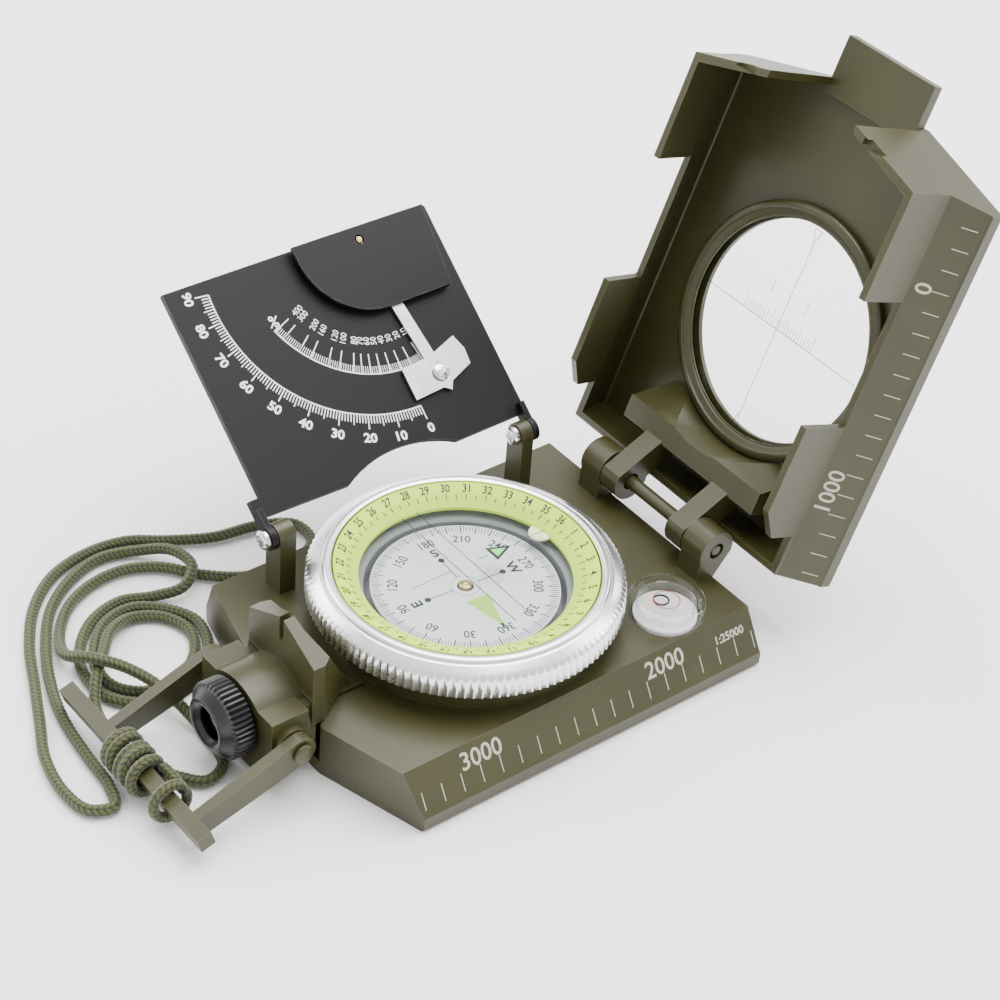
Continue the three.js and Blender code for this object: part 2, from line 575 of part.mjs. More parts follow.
function buildHingePin(root) {
  piece(root, 'hinge_pin', bar('x', [HINGE_Y, HINGE_Z], HINGE_PIN_R,
    -KNUCKLE_OUT + 0.1, KNUCKLE_OUT - 0.1, 24), 'olive');
}

// ---------------------------------------------------------------- clinometer

/** Swings a point of the plate about the pendulum's pivot. */
function aboutPivot(points, degrees) {
  const [c, s] = [Math.cos(radians(degrees)), Math.sin(radians(degrees))];
  return points.map(([y, z]) => [PENDULUM_Y + y * c - z * s, PENDULUM_S + y * s + z * c]);
}

function buildClinometer(root) {
  const tilt = new THREE.Group();           // +Z runs up the plate, +X out of its face
  tilt.position.set(TILT_X, 0, TILT_Z);
  tilt.rotation.y = -radians(TILT_LEAN);
  root.add(tilt);

  const scoop = arc([5.1, -19.5], 25.5, 118, 62, 14);
  const outline = [
    [PLATE_Y0, PLATE_FOOT + 0.4], ...scoop, [PLATE_Y1, PLATE_FOOT], [PLATE_Y1, PLATE_TOP],
    [PLATE_Y0, PLATE_TOP + 0.5],
  ];
  const plate = prism('x', outline, -PLATE_THICK, 0);
  const tab = (y0) => join(
    bar('y', [0, 0], EAR_R, y0, y0 + TAB_THICK, 28),
    box([-PLATE_THICK, EAR_R * 0.7], [y0, y0 + TAB_THICK], [0, PLATE_FOOT + 2]));
  const tabs = [REAR_EAR_Y[0] - GAP - TAB_THICK, FRONT_EAR_Y[1] + GAP];
  const body = cut(join(plate,
    box([-PLATE_THICK, 0], [tabs[0], PLATE_Y0 + 0.5], [PLATE_FOOT + 0.4, PLATE_FOOT + 4]),
    box([-PLATE_THICK, 0], [PLATE_Y1 - 0.5, tabs[1] + TAB_THICK], [PLATE_FOOT + 0.4, PLATE_FOOT + 4]),
    ...tabs.map(tab)),
  bar('y', [0, 0], TILT_SCREW_R + GAP, -40, 40, 20));
  piece(tilt, 'clinometer_plate', body, 'black');

  const hoodOutline = [
    [PENDULUM_Y, PENDULUM_S - HOOD_R], [PLATE_Y1 - 3.2, PENDULUM_S - HOOD_R],
    [PLATE_Y1 - 1.4, PLATE_TOP], [PENDULUM_Y - HOOD_R, PLATE_TOP + 0.4],
    ...arc([PENDULUM_Y, PENDULUM_S], HOOD_R, 180, 262, 12),
  ];
  const sweep = [
    [PENDULUM_Y, PENDULUM_S], ...arc([PENDULUM_Y, PENDULUM_S], HOOD_R + 3, 160, 284, 14),
  ];
  const lane = aboutPivot([[-2, 0], [-2, -20], [2, -20], [2, 0]], PENDULUM_ANGLE + 4);
  const hood = cut(prism('x', hoodOutline, GAP, HOOD_TOP),
    prism('x', sweep, 0, 1.15), prism('x', lane, 0, 1.15),
    bar('x', [PENDULUM_Y, PENDULUM_S], 2.4, 0, 1.15, 24),
    bar('x', [PENDULUM_Y, PENDULUM_S], 0.6 + GAP, 0, HOOD_TOP + 1, 20));
  piece(tilt, 'pendulum_hood', hood, 'black');
  piece(tilt, 'pendulum_pin', bar('x', [PENDULUM_Y, PENDULUM_S], 0.6,
    GAP, HOOD_TOP + 0.05, 20), 'brass');

  const weight = [
    [-1.2, -1.4], [-1.2, -24.4], [-6.4, -24.2], [-7.1, -30.2], [-0.8, -30.6], [0.4, -31.7],
    [1.5, -30.3], [6.6, -29.1], [7.2, -26.2], [6.5, -23.2], [1.2, -24.2], [1.2, -1.4],
  ];
  const hub = bar('x', [PENDULUM_Y, PENDULUM_S], 2, GAP, 0.85, 24);
  const arm = prism('x', aboutPivot(weight, PENDULUM_ANGLE), GAP, 0.85);
  const [rivetAt] = aboutPivot([[0.2, -27.9]], PENDULUM_ANGLE);
  piece(tilt, 'pendulum', cut(join(arm, hub),
    bar('x', [PENDULUM_Y, PENDULUM_S], 0.6 + GAP, 0, 3, 20),
    bar('x', rivetAt, 0.7 + GAP, 0, 3, 20)), 'silver');
  piece(tilt, 'pendulum_rivet', join(bar('x', rivetAt, 0.7, GAP, 1.3, 20),
    bar('x', rivetAt, 1.6, 0.85 + GAP, 1.6, 28)), 'chrome');

  for (const [name, face, way] of [['tilt_screw_rear', tabs[0], -1],
    ['tilt_screw_front', FRONT_EAR_Y[0], -1]]) {
    const head = [face + way * GAP, face + way * 1.3].sort((a, b) => a - b);
    const shank = [face - way * 3.6, face + way * 0.8].sort((a, b) => a - b);
    const cross = join(
      box([-0.25, 0.25], [Math.min(...head) - 1, Math.max(...head) + 1], [-1.3, 1.3]),
      box([-1.3, 1.3], [Math.min(...head) - 1, Math.max(...head) + 1], [-0.25, 0.25]),
    ).intersect(box([-2, 2], way > 0 ? [head[1] - 0.5, head[1] + 1] : [head[0] - 1, head[0] + 0.5],
      [-2, 2]));
    piece(tilt, name, cut(join(bar('y', [0, 0], 1.8, ...head, 28),
      bar('y', [0, 0], TILT_SCREW_R, ...shank, 20)), cross), 'chrome');
  }
}

// ---------------------------------------------------------------- sight

function buildSight(root) {
  const gable = prism('y', [
    [4, -SIGHT_HALF], [SIGHT_SHOULDER, -SIGHT_HALF], [SIGHT_PEAK, 0],
    [SIGHT_SHOULDER, SIGHT_HALF], [4, SIGHT_HALF],
  ].reverse(), SIGHT_Y - 1, NOTCH_FRONT_Y);
  const side = prism('x', [
    [SIGHT_Y, 5], [SIGHT_Y + 4, 5], [-27.2, BASE_HEIGHT + GAP], [-27.2, 11.4], [-29.4, 14.2],
    [-32.4, 19.2], [SIGHT_Y + SIGHT_THICK, SIGHT_PEAK - 1.5], [SIGHT_Y + SIGHT_THICK - 0.6, 30],
    [SIGHT_Y, 30],
  ], -SIGHT_HALF, SIGHT_HALF);
  const above = prism('z', [
    [-SIGHT_HALF, SIGHT_Y], [SIGHT_HALF, SIGHT_Y], [SIGHT_HALF, SIGHT_Y + SIGHT_THICK],
    [4.9, -29], [4.6, -27.2], [-4.6, -27.2], [-4.9, -29], [-SIGHT_HALF, SIGHT_Y + SIGHT_THICK],
  ], BASE_HEIGHT + GAP, 40);
  const upright = gable.intersect(side).intersect(above);
  const foot = box([-NOTCH_HALF + GAP, NOTCH_HALF - GAP], [REAR_Y + 3.6, NOTCH_FRONT_Y - GAP],
    [2.9, BASE_HEIGHT + GAP + 0.2]);
  const back = join(
    box([-SIGHT_HALF, SIGHT_HALF], [SIGHT_Y - 0.1, REAR_Y - GAP], [4.4, 16]),
    box([-NOTCH_HALF + GAP, NOTCH_HALF - GAP], [SIGHT_Y, REAR_Y + 4], [4.4, BASE_HEIGHT + 0.6]));
  const wings = box([-WING_HALF, WING_HALF], [DRUM_END_Y, -39.8], [WING_TOP - 9, WING_TOP]);
  const neck = box([-WING_HALF + 1.6, WING_HALF - 1.6], [-40.2, SIGHT_Y + 0.2], [5, WING_TOP - 0.6]);
  const drum = bar('y', [DRUM_Z, 0], DRUM_R, DRUM_END_Y, SIGHT_Y + 0.5, 64)
    .intersect(box([-20, 20], [-60, 0], [1.6, 40]));
  const lugs = bar('x', [BAIL_Y, BAIL_Z], 2.9, -BAIL_IN + GAP, BAIL_IN - GAP, 32);
  let bracket = join(upright, foot, back, wings, neck, drum, lugs);
  bracket = cut(bracket,
    box([-SLOT_HALF, SLOT_HALF], [SIGHT_Y - 1, SIGHT_Y + SIGHT_THICK + 6], [SLOT_FOOT, 40]),
    bar('y', [EYE_Z, 0], EYE_R, DRUM_END_Y - 1, SIGHT_Y - 0.4, 36),
    bar('x', [BAIL_Y, BAIL_Z], RIVET_R + GAP, -20, -BAIL_IN + 3.4, 20),
    bar('x', [BAIL_Y, BAIL_Z], RIVET_R + GAP, BAIL_IN - 3.4, 20, 20));
  piece(root, 'sight_bracket', bracket, 'olive');
  piece(root, 'sight_prism', prism('x', [
    [SIGHT_Y - 0.8, EYE_Z - 2.2], [SIGHT_Y - 5, EYE_Z - 2.2], [SIGHT_Y - 0.8, EYE_Z + 2],
  ].reverse(), -2.2, 2.2), 'glass');

  const [near, far] = KNOB_Y;
  const outline = toothed(KNOB_R, 0.4, KNOB_TEETH).map(([x, z]) => [z + EYE_Z, x]);
  const end = solid(new THREE.CylinderGeometry(KNOB_END_R, KNOB_R - 0.5, far - KNOB_END_Y + 0.05, 64)
    .rotateX(Math.PI).translate(0, (far + KNOB_END_Y) / 2 + 0.025, EYE_Z));
  const knob = cut(join(prism('y', outline, far, near), end),
    bar('y', [EYE_Z, 0], EYE_R + GAP, KNOB_END_Y + 1.2, near + 1, 36),
    bar('y', [EYE_Z, 0], EYE_R - 0.6, KNOB_END_Y - 1, near, 36));
  piece(root, 'focus_knob', knob, 'rubber');
  piece(root, 'eyepiece_lens',
    bar('y', [EYE_Z, 0], EYE_R, KNOB_END_Y + 1.5, KNOB_END_Y + 2.7, 36), 'glass');
}

// ---------------------------------------------------------------- bail

function buildBail(root) {
  const swing = new THREE.Group();          // +Y runs out along the arms
  swing.position.set(0, BAIL_Y, BAIL_Z);
  swing.rotation.x = radians(BAIL_DROP);
  root.add(swing);

  const half = BAIL_DEEP / 2;
  const side = [
    ...arc([0, 0], half, -90, 90, 12), [-BAIL_REACH - 0.4, half - 0.6],
    [-BAIL_REACH - 0.4, -half + 0.6], [-6, -half],
  ];
  const arms = [-1, 1].map((way) => prism('x', side,
    ...[way * BAIL_IN, way * BAIL_OUT].sort((a, b) => a - b)));
  const crossbar = box(CROSSBAR_X, [-BAIL_REACH - CROSSBAR_WIDE, -BAIL_REACH],
    [-0.6, -0.6 + CROSSBAR_DEEP]);
  piece(swing, 'bail', cut(join(crossbar, ...arms),
    bar('x', [0, 0], RIVET_R + GAP, -30, 30, 20)), 'olive');
  for (const [name, way] of [['bail_rivet_left', -1], ['bail_rivet_right', 1]]) {
    const shank = [way * (BAIL_IN - 2.8), way * (BAIL_OUT + 0.6)].sort((a, b) => a - b);
    const head = [way * (BAIL_OUT + GAP), way * (BAIL_OUT + 1.2)].sort((a, b) => a - b);
    piece(root, name, join(bar('x', [BAIL_Y, BAIL_Z], RIVET_R, ...shank, 20),
      bar('x', [BAIL_Y, BAIL_Z], 1.8, ...head, 28)), 'olive');
  }

  // The lanyard's turns round the crossbar.
  const [midY, midZ] = [-BAIL_REACH - CROSSBAR_WIDE / 2, -0.6 + CROSSBAR_DEEP / 2];
  const opening = box([-40, 40],
    [midY - CROSSBAR_WIDE / 2 - GAP, midY + CROSSBAR_WIDE / 2 + GAP],
    [midZ - CROSSBAR_DEEP / 2 - GAP, midZ + CROSSBAR_DEEP / 2 + GAP]);
  const turns = join(
    bar('x', [midY, midZ], HITCH_R, ...HITCH_X, 36), bar('x', [midY, midZ], HITCH_R, ...LOOP_X, 36),
    bar('x', [midY - HITCH_R + CORD_D / 2, midZ], CORD_D / 2, HITCH_X[1] - 1, LOOP_X[0] + 1, 16));
  piece(swing, 'lanyard_hitch', cut(turns, opening), 'cord');
}

// ---------------------------------------------------------------- lanyard

function buildLanyard(root) {
  const path = new THREE.CatmullRomCurve3(
    CORD_ROUTE.map(([x, y, z]) => new THREE.Vector3(x, y, z)));
  const round = new THREE.Shape(Array.from({ length: 8 }, (_, i) => new THREE.Vector2(
    Math.cos((i + 0.5) * Math.PI / 4), Math.sin((i + 0.5) * Math.PI / 4),
  ).multiplyScalar(CORD_D / 2)));
  const tube = new THREE.ExtrudeGeometry(round, {
    steps: CORD_STEPS, extrudePath: path, bevelEnabled: false,
  });
  piece(root, 'lanyard_cord', solid(tube), 'cord');
}

// ---------------------------------------------------------------- the whole

const compass = new THREE.Group();
compass.name = 'sighting_compass';
buildBase(compass);
buildCapsule(compass);
buildCard(compass);
buildBezel(compass);
buildLevel(compass);
buildLid(compass);
buildHingePin(compass);
buildClinometer(compass);
buildSight(compass);
buildBail(compass);
buildLanyard(compass);

export default compass;
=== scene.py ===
"""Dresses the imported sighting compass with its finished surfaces, print, glass and lanyard."""

from __future__ import annotations

import json
import logging
import math
from collections.abc import Callable, Iterable, Sequence
from dataclasses import dataclass, field
from enum import Enum

import bmesh
import bpy
from mathutils import Matrix, Vector

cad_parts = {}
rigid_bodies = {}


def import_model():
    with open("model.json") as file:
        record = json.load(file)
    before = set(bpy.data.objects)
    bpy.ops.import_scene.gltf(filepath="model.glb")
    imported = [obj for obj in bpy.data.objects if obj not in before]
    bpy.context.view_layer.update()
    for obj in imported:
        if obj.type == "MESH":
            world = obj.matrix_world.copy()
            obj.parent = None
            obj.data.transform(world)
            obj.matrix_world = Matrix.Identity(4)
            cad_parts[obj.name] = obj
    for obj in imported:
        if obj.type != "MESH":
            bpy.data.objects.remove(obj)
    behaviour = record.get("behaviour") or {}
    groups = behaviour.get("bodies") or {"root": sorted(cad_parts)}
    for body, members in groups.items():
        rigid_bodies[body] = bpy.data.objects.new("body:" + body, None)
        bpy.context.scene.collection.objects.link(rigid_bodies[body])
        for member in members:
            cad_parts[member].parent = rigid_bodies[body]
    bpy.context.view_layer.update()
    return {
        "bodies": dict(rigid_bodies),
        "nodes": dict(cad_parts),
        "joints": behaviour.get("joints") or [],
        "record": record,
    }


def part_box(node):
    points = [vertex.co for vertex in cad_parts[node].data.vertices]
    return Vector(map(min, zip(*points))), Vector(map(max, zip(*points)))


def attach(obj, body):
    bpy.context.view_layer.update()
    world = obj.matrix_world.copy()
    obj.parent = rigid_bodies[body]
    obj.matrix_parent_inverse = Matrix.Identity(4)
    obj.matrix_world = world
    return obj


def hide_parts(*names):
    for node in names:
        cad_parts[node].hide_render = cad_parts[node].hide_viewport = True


LOG = logging.getLogger("sighting_compass")
MM = 0.001
MERGE = 1e-4  # points this close in a shape are one, in millimetres
Triple = tuple[float, float, float]
Color = Triple
Point = tuple[float, float]


# ---------------------------------------------------------------- shaders


class Wire:
    """An output of a shader node; arithmetic on it adds Math nodes."""

    def __init__(self, shader: Shader, socket: bpy.types.NodeSocket) -> None:
        """Keeps the output and the shader that it belongs to."""
        self.shader = shader
        self.socket = socket

    def _math(self, operation: str, *values: Wire | float) -> Wire:
        """Adds one Math node."""
        settings = {"operation": operation}
        return self.shader.node("ShaderNodeMath", settings, dict(enumerate(values)))

    def __add__(self, other: Wire | float) -> Wire:
        """Sum."""
        return self._math("ADD", self, other)

    __radd__ = __add__

    def __sub__(self, other: Wire | float) -> Wire:
        """Difference."""
        return self._math("SUBTRACT", self, other)

    def __rsub__(self, other: Wire | float) -> Wire:
        """Difference, with this wire on the right."""
        return self._math("SUBTRACT", other, self)

    def __mul__(self, other: Wire | float) -> Wire:
        """Product."""
        return self._math("MULTIPLY", self, other)

    __rmul__ = __mul__

    def __pow__(self, other: Wire | float) -> Wire:
        """Power."""
        return self._math("POWER", self, other)

    def step(self, low: float, high: float) -> Wire:
        """Runs smoothly from 0 at low to 1 at high.

        Args:
            low: Value that gives 0.
            high: Value that gives 1.

        Returns:
            The eased value.
        """
        settings = {"interpolation_type": "SMOOTHSTEP"}
        sockets = {"Value": self, "From Min": low, "From Max": high}
        return self.shader.node("ShaderNodeMapRange", settings, sockets)


class Shader:
    """A material under construction."""

    def __init__(self, name: str) -> None:
        """Starts a node material with one Principled shader."""
        self.material = bpy.data.materials.new(name)
        self.material.use_nodes = True
        self.tree = self.material.node_tree
        self.surface = self.tree.nodes["Principled BSDF"]

    def node(
        self,
        kind: str,
        settings: dict[str, object] | None = None,
        sockets: dict[str | int, object] | None = None,
        output: int | str = 0,
    ) -> Wire:
        """Adds a node.

        Args:
            kind: Blender's type name of the node.
            settings: Attributes, set first.
            sockets: Values or wires for its inputs, by name or number.
            output: Which output comes back.

        Returns:
            The chosen output.
        """
        made = self.tree.nodes.new(kind)
        for key, value in (settings or {}).items():
            setattr(made, key, value)
        for key, value in (sockets or {}).items():
            self.join(made.inputs[key], value)
        return Wire(self, made.outputs[output])

    def join(self, socket: bpy.types.NodeSocket, value: object) -> None:
        """Feeds a socket with a wire, or sets its own value."""
        if isinstance(value, Wire):
            self.tree.links.new(value.socket, socket)
        else:
            socket.default_value = value

    def put(self, **sockets: object) -> None:
        """Sets the Principled shader's sockets; an underscore stands for a space.

        Args:
            **sockets: Values or wires by socket name.
        """
        for key, value in sockets.items():
            self.join(self.surface.inputs[key.replace("_", " ")], value)

    def place(self) -> Wire:
        """The surface's place in the compass's frame."""
        return self.node("ShaderNodeTexCoord", None, None, "Object")

    def noise(
        self, size: float, detail: float = 3.0, stretch: Triple = (1, 1, 1), seed: float = 0.0
    ) -> Wire:
        """Cloudy noise.

        Args:
            size: Width of its blobs, in metres.
            detail: Octaves.
            stretch: How much finer it is along each axis.
            seed: Shift that makes another pattern.

        Returns:
            The noise, around 0.5.
        """
        mapped = self.node(
            "ShaderNodeMapping",
            None,
            {"Vector": self.place(), "Location": (seed, seed, seed), "Scale": stretch},
        )
        return self.node(
            "ShaderNodeTexNoise",
            None,
            {"Vector": mapped, "Scale": 1 / size, "Detail": detail},
        )

    def mix(self, factor: Wire | float, low: Color | Wire, high: Color | Wire) -> Wire:
        """Blends two colours.

        Args:
            factor: 0 for the first, 1 for the second.
            low: First colour.
            high: Second colour.

        Returns:
            The blended colour.
        """
        colors = [c if isinstance(c, Wire) else (*c, 1) for c in (low, high)]
        sockets = {0: factor, 6: colors[0], 7: colors[1]}
        return self.node("ShaderNodeMix", {"data_type": "RGBA"}, sockets, 2)

    def bump(self, height: Wire, depth: float) -> Wire:
        """A bump normal.

        Args:
            height: Relief, from 0 to 1.
            depth: How deep it is, in metres.

        Returns:
            The normal.
        """
        return self.node("ShaderNodeBump", None, {"Height": height, "Distance": depth})

    def rubbed(self, reach: float) -> Wire:
        """Where outer corners are lighter: real wear and a painted edge highlight.

        Args:
            reach: How far from a corner it starts, in metres.

        Returns:
            0 on the flats, up to 1 on the corners.
        """
        soft = self.node("ShaderNodeBevel", {"samples": 4}, {"Radius": reach})
        true = self.node("ShaderNodeNewGeometry", None, None, "Normal")
        dot = self.node(
            "ShaderNodeVectorMath", {"operation": "DOT_PRODUCT"}, {0: soft, 1: true}, "Value"
        )
        return (1 - dot).step(0.01, 0.2)


def shade(color: Color, amount: float) -> Color:
    """A colour made lighter or darker."""
    return tuple(min(1.0, c * amount) for c in color)


@dataclass(frozen=True)
class Enamel:
    """Baked enamel on metal, with a fine skin and lighter corners: partly real wear, partly a
    painted edge highlight.
    """

    name: str
    color: Color
    worn: Color
    rough: float = 0.42
    skin: float = 0.00045
    relief: float = 0.00002
    wear: float = 0.35
    ior: float = 1.5

    def make(self) -> bpy.types.Material:
        """Builds the material."""
        sh = Shader(self.name)
        cloud = sh.noise(0.018, 4)
        skin = sh.noise(self.skin, 2)
        tone = sh.mix(cloud.step(0.3, 0.7), shade(self.color, 0.9), shade(self.color, 1.12))
        # Lighter patches on outer corners: partly real wear, partly a painted edge highlight.
        wear_and_highlight_mask = sh.rubbed(0.0005) * sh.noise(0.004, 5, seed=3.0).step(0.3, 0.62)
        sh.put(
            Base_Color=sh.mix(wear_and_highlight_mask * self.wear, tone, self.worn),
            Roughness=(cloud - 0.5) * 0.14 + skin * 0.08 + (self.rough - 0.04),
            Normal=sh.bump(skin, self.relief),
            IOR=self.ior,
        )
        return sh.material


@dataclass(frozen=True)
class TurnedMetal:
    """Bright metal with the fine rings that a lathe leaves round an upright axis."""

    name: str
    color: Color
    rough: float = 0.2
    pitch: float = 0.00025
    relief: float = 0.000002

    def make(self) -> bpy.types.Material:
        """Builds the material."""
        sh = Shader(self.name)
        axes = sh.node("ShaderNodeSeparateXYZ", None, {0: sh.place()}).socket.node.outputs
        x, y, z = (Wire(sh, axes[i]) for i in range(3))
        radius = (x * x + y * y) ** 0.5
        along = sh.node("ShaderNodeCombineXYZ", None, {0: radius, 1: z})
        rings = sh.node(
            "ShaderNodeTexNoise",
            None,
            {"Vector": along, "Scale": 1 / self.pitch, "Detail": 2.0},
        )
        smear = sh.noise(0.006, 3)
        sh.put(
            Base_Color=sh.mix(rings, shade(self.color, 0.93), self.color),
            Metallic=1.0,
            Roughness=rings * 0.1 + smear * 0.12 + (self.rough - 0.1),
            Normal=sh.bump(rings, self.relief),
        )
        return sh.material


@dataclass(frozen=True)
class SheetMetal:
    """Plain bright sheet or bar metal with a brushed grain along one axis."""

    name: str
    color: Color
    rough: float = 0.28
    grain: Triple = (1, 30, 30)

    def make(self) -> bpy.types.Material:
        """Builds the material."""
        sh = Shader(self.name)
        lines = sh.noise(0.004, 3, self.grain)
        smear = sh.noise(0.003, 4, seed=1.0)
        sh.put(
            Base_Color=sh.mix(lines, shade(self.color, 0.9), self.color),
            Metallic=1.0,
            Roughness=lines * 0.12 + smear * 0.16 + (self.rough - 0.14),
            Normal=sh.bump(lines, 0.000008),
        )
        return sh.material


@dataclass(frozen=True)
class Moulded:
    """Moulded plastic with a faint grain and mottle."""

    name: str
    color: Color
    rough: float = 0.4
    mottle: float = 0.06
    relief: float = 0.00001

    def make(self) -> bpy.types.Material:
        """Builds the material."""
        sh = Shader(self.name)
        cloud = sh.noise(0.006, 4)
        grain = sh.noise(0.0003, 2)
        low, high = shade(self.color, 1 - self.mottle), shade(self.color, 1 + self.mottle)
        sh.put(
            Base_Color=sh.mix(cloud, low, high),
            Roughness=(cloud - 0.5) * 0.12 + grain * 0.06 + (self.rough - 0.03),
            Normal=sh.bump(grain, self.relief),
        )
        return sh.material


@dataclass(frozen=True)
class Clear:
    """Clear moulded plastic or glass: see-through face on, glossy at a slant."""

    name: str
    tint: Color = (0.97, 0.98, 0.98)
    veil: float = 0.012
    gloss: float = 0.55

    def make(self) -> bpy.types.Material:
        """Builds the material."""
        sh = Shader(self.name)
        smear = sh.noise(0.008, 4)
        sh.put(Base_Color=sh.mix(smear, (0.86, 0.88, 0.88), (0.95, 0.97, 0.97)))
        sh.put(Roughness=smear * 0.06 + 0.01, Metallic=1.0)
        slant = sh.node("ShaderNodeLayerWeight", None, {"Blend": 0.35}, "Facing")
        through = sh.node("ShaderNodeBsdfTransparent", None, {"Color": (*self.tint, 1)})
        face = Wire(sh, sh.surface.outputs[0])
        sockets = {0: (slant**4) * self.gloss + self.veil, 1: through, 2: face}
        both = sh.node("ShaderNodeMixShader", None, sockets)
        sh.join(sh.tree.nodes["Material Output"].inputs["Surface"], both)
        return sh.material


@dataclass(frozen=True)
class Ink:
    """Printed ink, a little uneven."""

    name: str
    color: Color
    rough: float = 0.55

    def make(self) -> bpy.types.Material:
        """Builds the material."""
        sh = Shader(self.name)
        grain = sh.noise(0.0006, 3)
        sh.put(
            Base_Color=sh.mix(grain, shade(self.color, 0.86), shade(self.color, 1.05)),
            Roughness=grain * 0.1 + (self.rough - 0.05),
        )
        return sh.material


@dataclass(frozen=True)
class Braid:
    """Braided nylon: olive on the stitches, with painted shade darkening the gaps by the cord's
    braid height.
    """

    name: str
    light: Color
    dark: Color

    def make(self) -> bpy.types.Material:
        """Builds the material."""
        sh = Shader(self.name)
        relief = sh.node("ShaderNodeAttribute", {"attribute_name": "braid"}, None, "Fac")
        fibre = sh.noise(0.00018, 3)
        cloud = sh.noise(0.009, 3)
        lit = sh.mix(cloud, shade(self.light, 0.8), self.light)
        # Painted shade: the gaps between stitches are darkened by the braid height.
        tone = sh.mix(relief.step(0.3, 0.85), self.dark, lit)
        sh.put(
            Base_Color=sh.mix(fibre * 0.5, tone, shade(self.light, 0.55)),
            Roughness=fibre * 0.2 + 0.62,
            Normal=sh.bump(fibre, 0.00005),
            Sheen_Weight=0.25,
        )
        return sh.material


class Finish(Enum):
    """Every finish on the compass, with the record's slot that it stands for."""

    OLIVE = (
        Enamel("olive_enamel", (0.036, 0.034, 0.009), (0.15, 0.145, 0.07), 0.36),
        "olive_paint",
    )
    # The black plate's lighter corners are a painted edge highlight, with some real wear.
    BLACK = (
        Enamel(
            "black_enamel", (0.0035, 0.0032, 0.0036), (0.09, 0.09, 0.1), 0.46, wear=0.5, ior=1.32
        ),
        "black_plate",
    )
    BEZEL = (TurnedMetal("turned_bezel", (0.95, 0.95, 0.955), 0.27), "satin_nickel")
    STEEL = (SheetMetal("bright_sheet", (0.9, 0.89, 0.86), 0.3), "bright_steel")
    SCREW = (SheetMetal("plated_screw", (0.86, 0.86, 0.86), 0.2), "screw_steel")
    BRASS = (TurnedMetal("turned_brass", (0.8, 0.6, 0.28), 0.25), "brass")
    MAGNET = (SheetMetal("magnet_bar", (0.32, 0.32, 0.33), 0.4), "magnet_steel")
    WHITE = (Moulded("white_moulding", (0.86, 0.86, 0.84), 0.3, 0.03), "white_plastic")
    # Painted shade: a grey copy of the white plastic, for the shaded capsule wall.
    CUP = (Moulded("capsule_wall_painted_shade", (0.36, 0.36, 0.36), 0.35, 0.05), "white_plastic")
    CARD = (Moulded("dial_card", (0.93, 0.905, 0.915), 0.5, 0.02), "card_white")
    LIME = (Moulded("lime_ring", (0.60, 0.86, 0.035), 0.5, 0.05), "lime_plastic")
    TAB = (Moulded("pale_tab", (0.86, 0.95, 0.55), 0.45, 0.04), "lime_plastic")
    CLEAR = (Clear("clear_crystal"), "clear_plastic")
    VIAL = (Clear("clear_vial", (0.96, 0.96, 0.96), 0.05, 0.9), "clear_plastic")
    KNOB = (Moulded("black_moulding", (0.006, 0.006, 0.007), 0.34, 0.2), "knob_black")
    # Painted shade: the clear lens is tinted near black for the dark inside of the eyepiece.
    LENS = (Clear("lens_painted_dark", (0.05, 0.05, 0.055), 0.06, 0.7), "clear_plastic")
    # The cord's second colour is the painted shade in the gaps of the braid.
    CORD = (Braid("braided_nylon", (0.085, 0.098, 0.018), (0.0015, 0.003, 0.001)), "lanyard")
    WHITE_INK = (Ink("white_print", (0.95, 0.95, 0.93)), "black_plate")
    RULER_INK = (Ink("pale_print", (0.46, 0.45, 0.37)), "olive_paint")
    BLACK_INK = (Ink("black_print", (0.012, 0.013, 0.014)), "card_white")
    RED_INK = (Ink("red_print", (0.45, 0.03, 0.03)), "clear_plastic")
    GREEN_INK = (Ink("green_mark", (0.22, 0.75, 0.16)), "clear_plastic")
    LIME_INK = (Ink("lime_mark", (0.55, 0.82, 0.12)), "card_white")

    @property
    def slot(self) -> str:
        """The record's material slot."""
        return self.value[1]

    def material(self) -> bpy.types.Material:
        """The finish's material, made once."""
        made = bpy.data.materials.get(self.value[0].name)
        return made or self.value[0].make()


# ---------------------------------------------------------------- shapes


def turn(degrees: float, axis: str) -> Matrix:
    """A turn about an axis through the origin."""
    return Matrix.Rotation(math.radians(degrees), 4, axis)


def polar(radius: float, degrees: float) -> Point:
    """A point at a radius and an angle from +X."""
    angle = math.radians(degrees)
    return radius * math.cos(angle), radius * math.sin(angle)


def box_mm(node: str) -> tuple[Vector, Vector]:
    """The low and the high corner of a CAD node, in millimetres."""
    low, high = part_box(node)
    return Vector(low) / MM, Vector(high) / MM


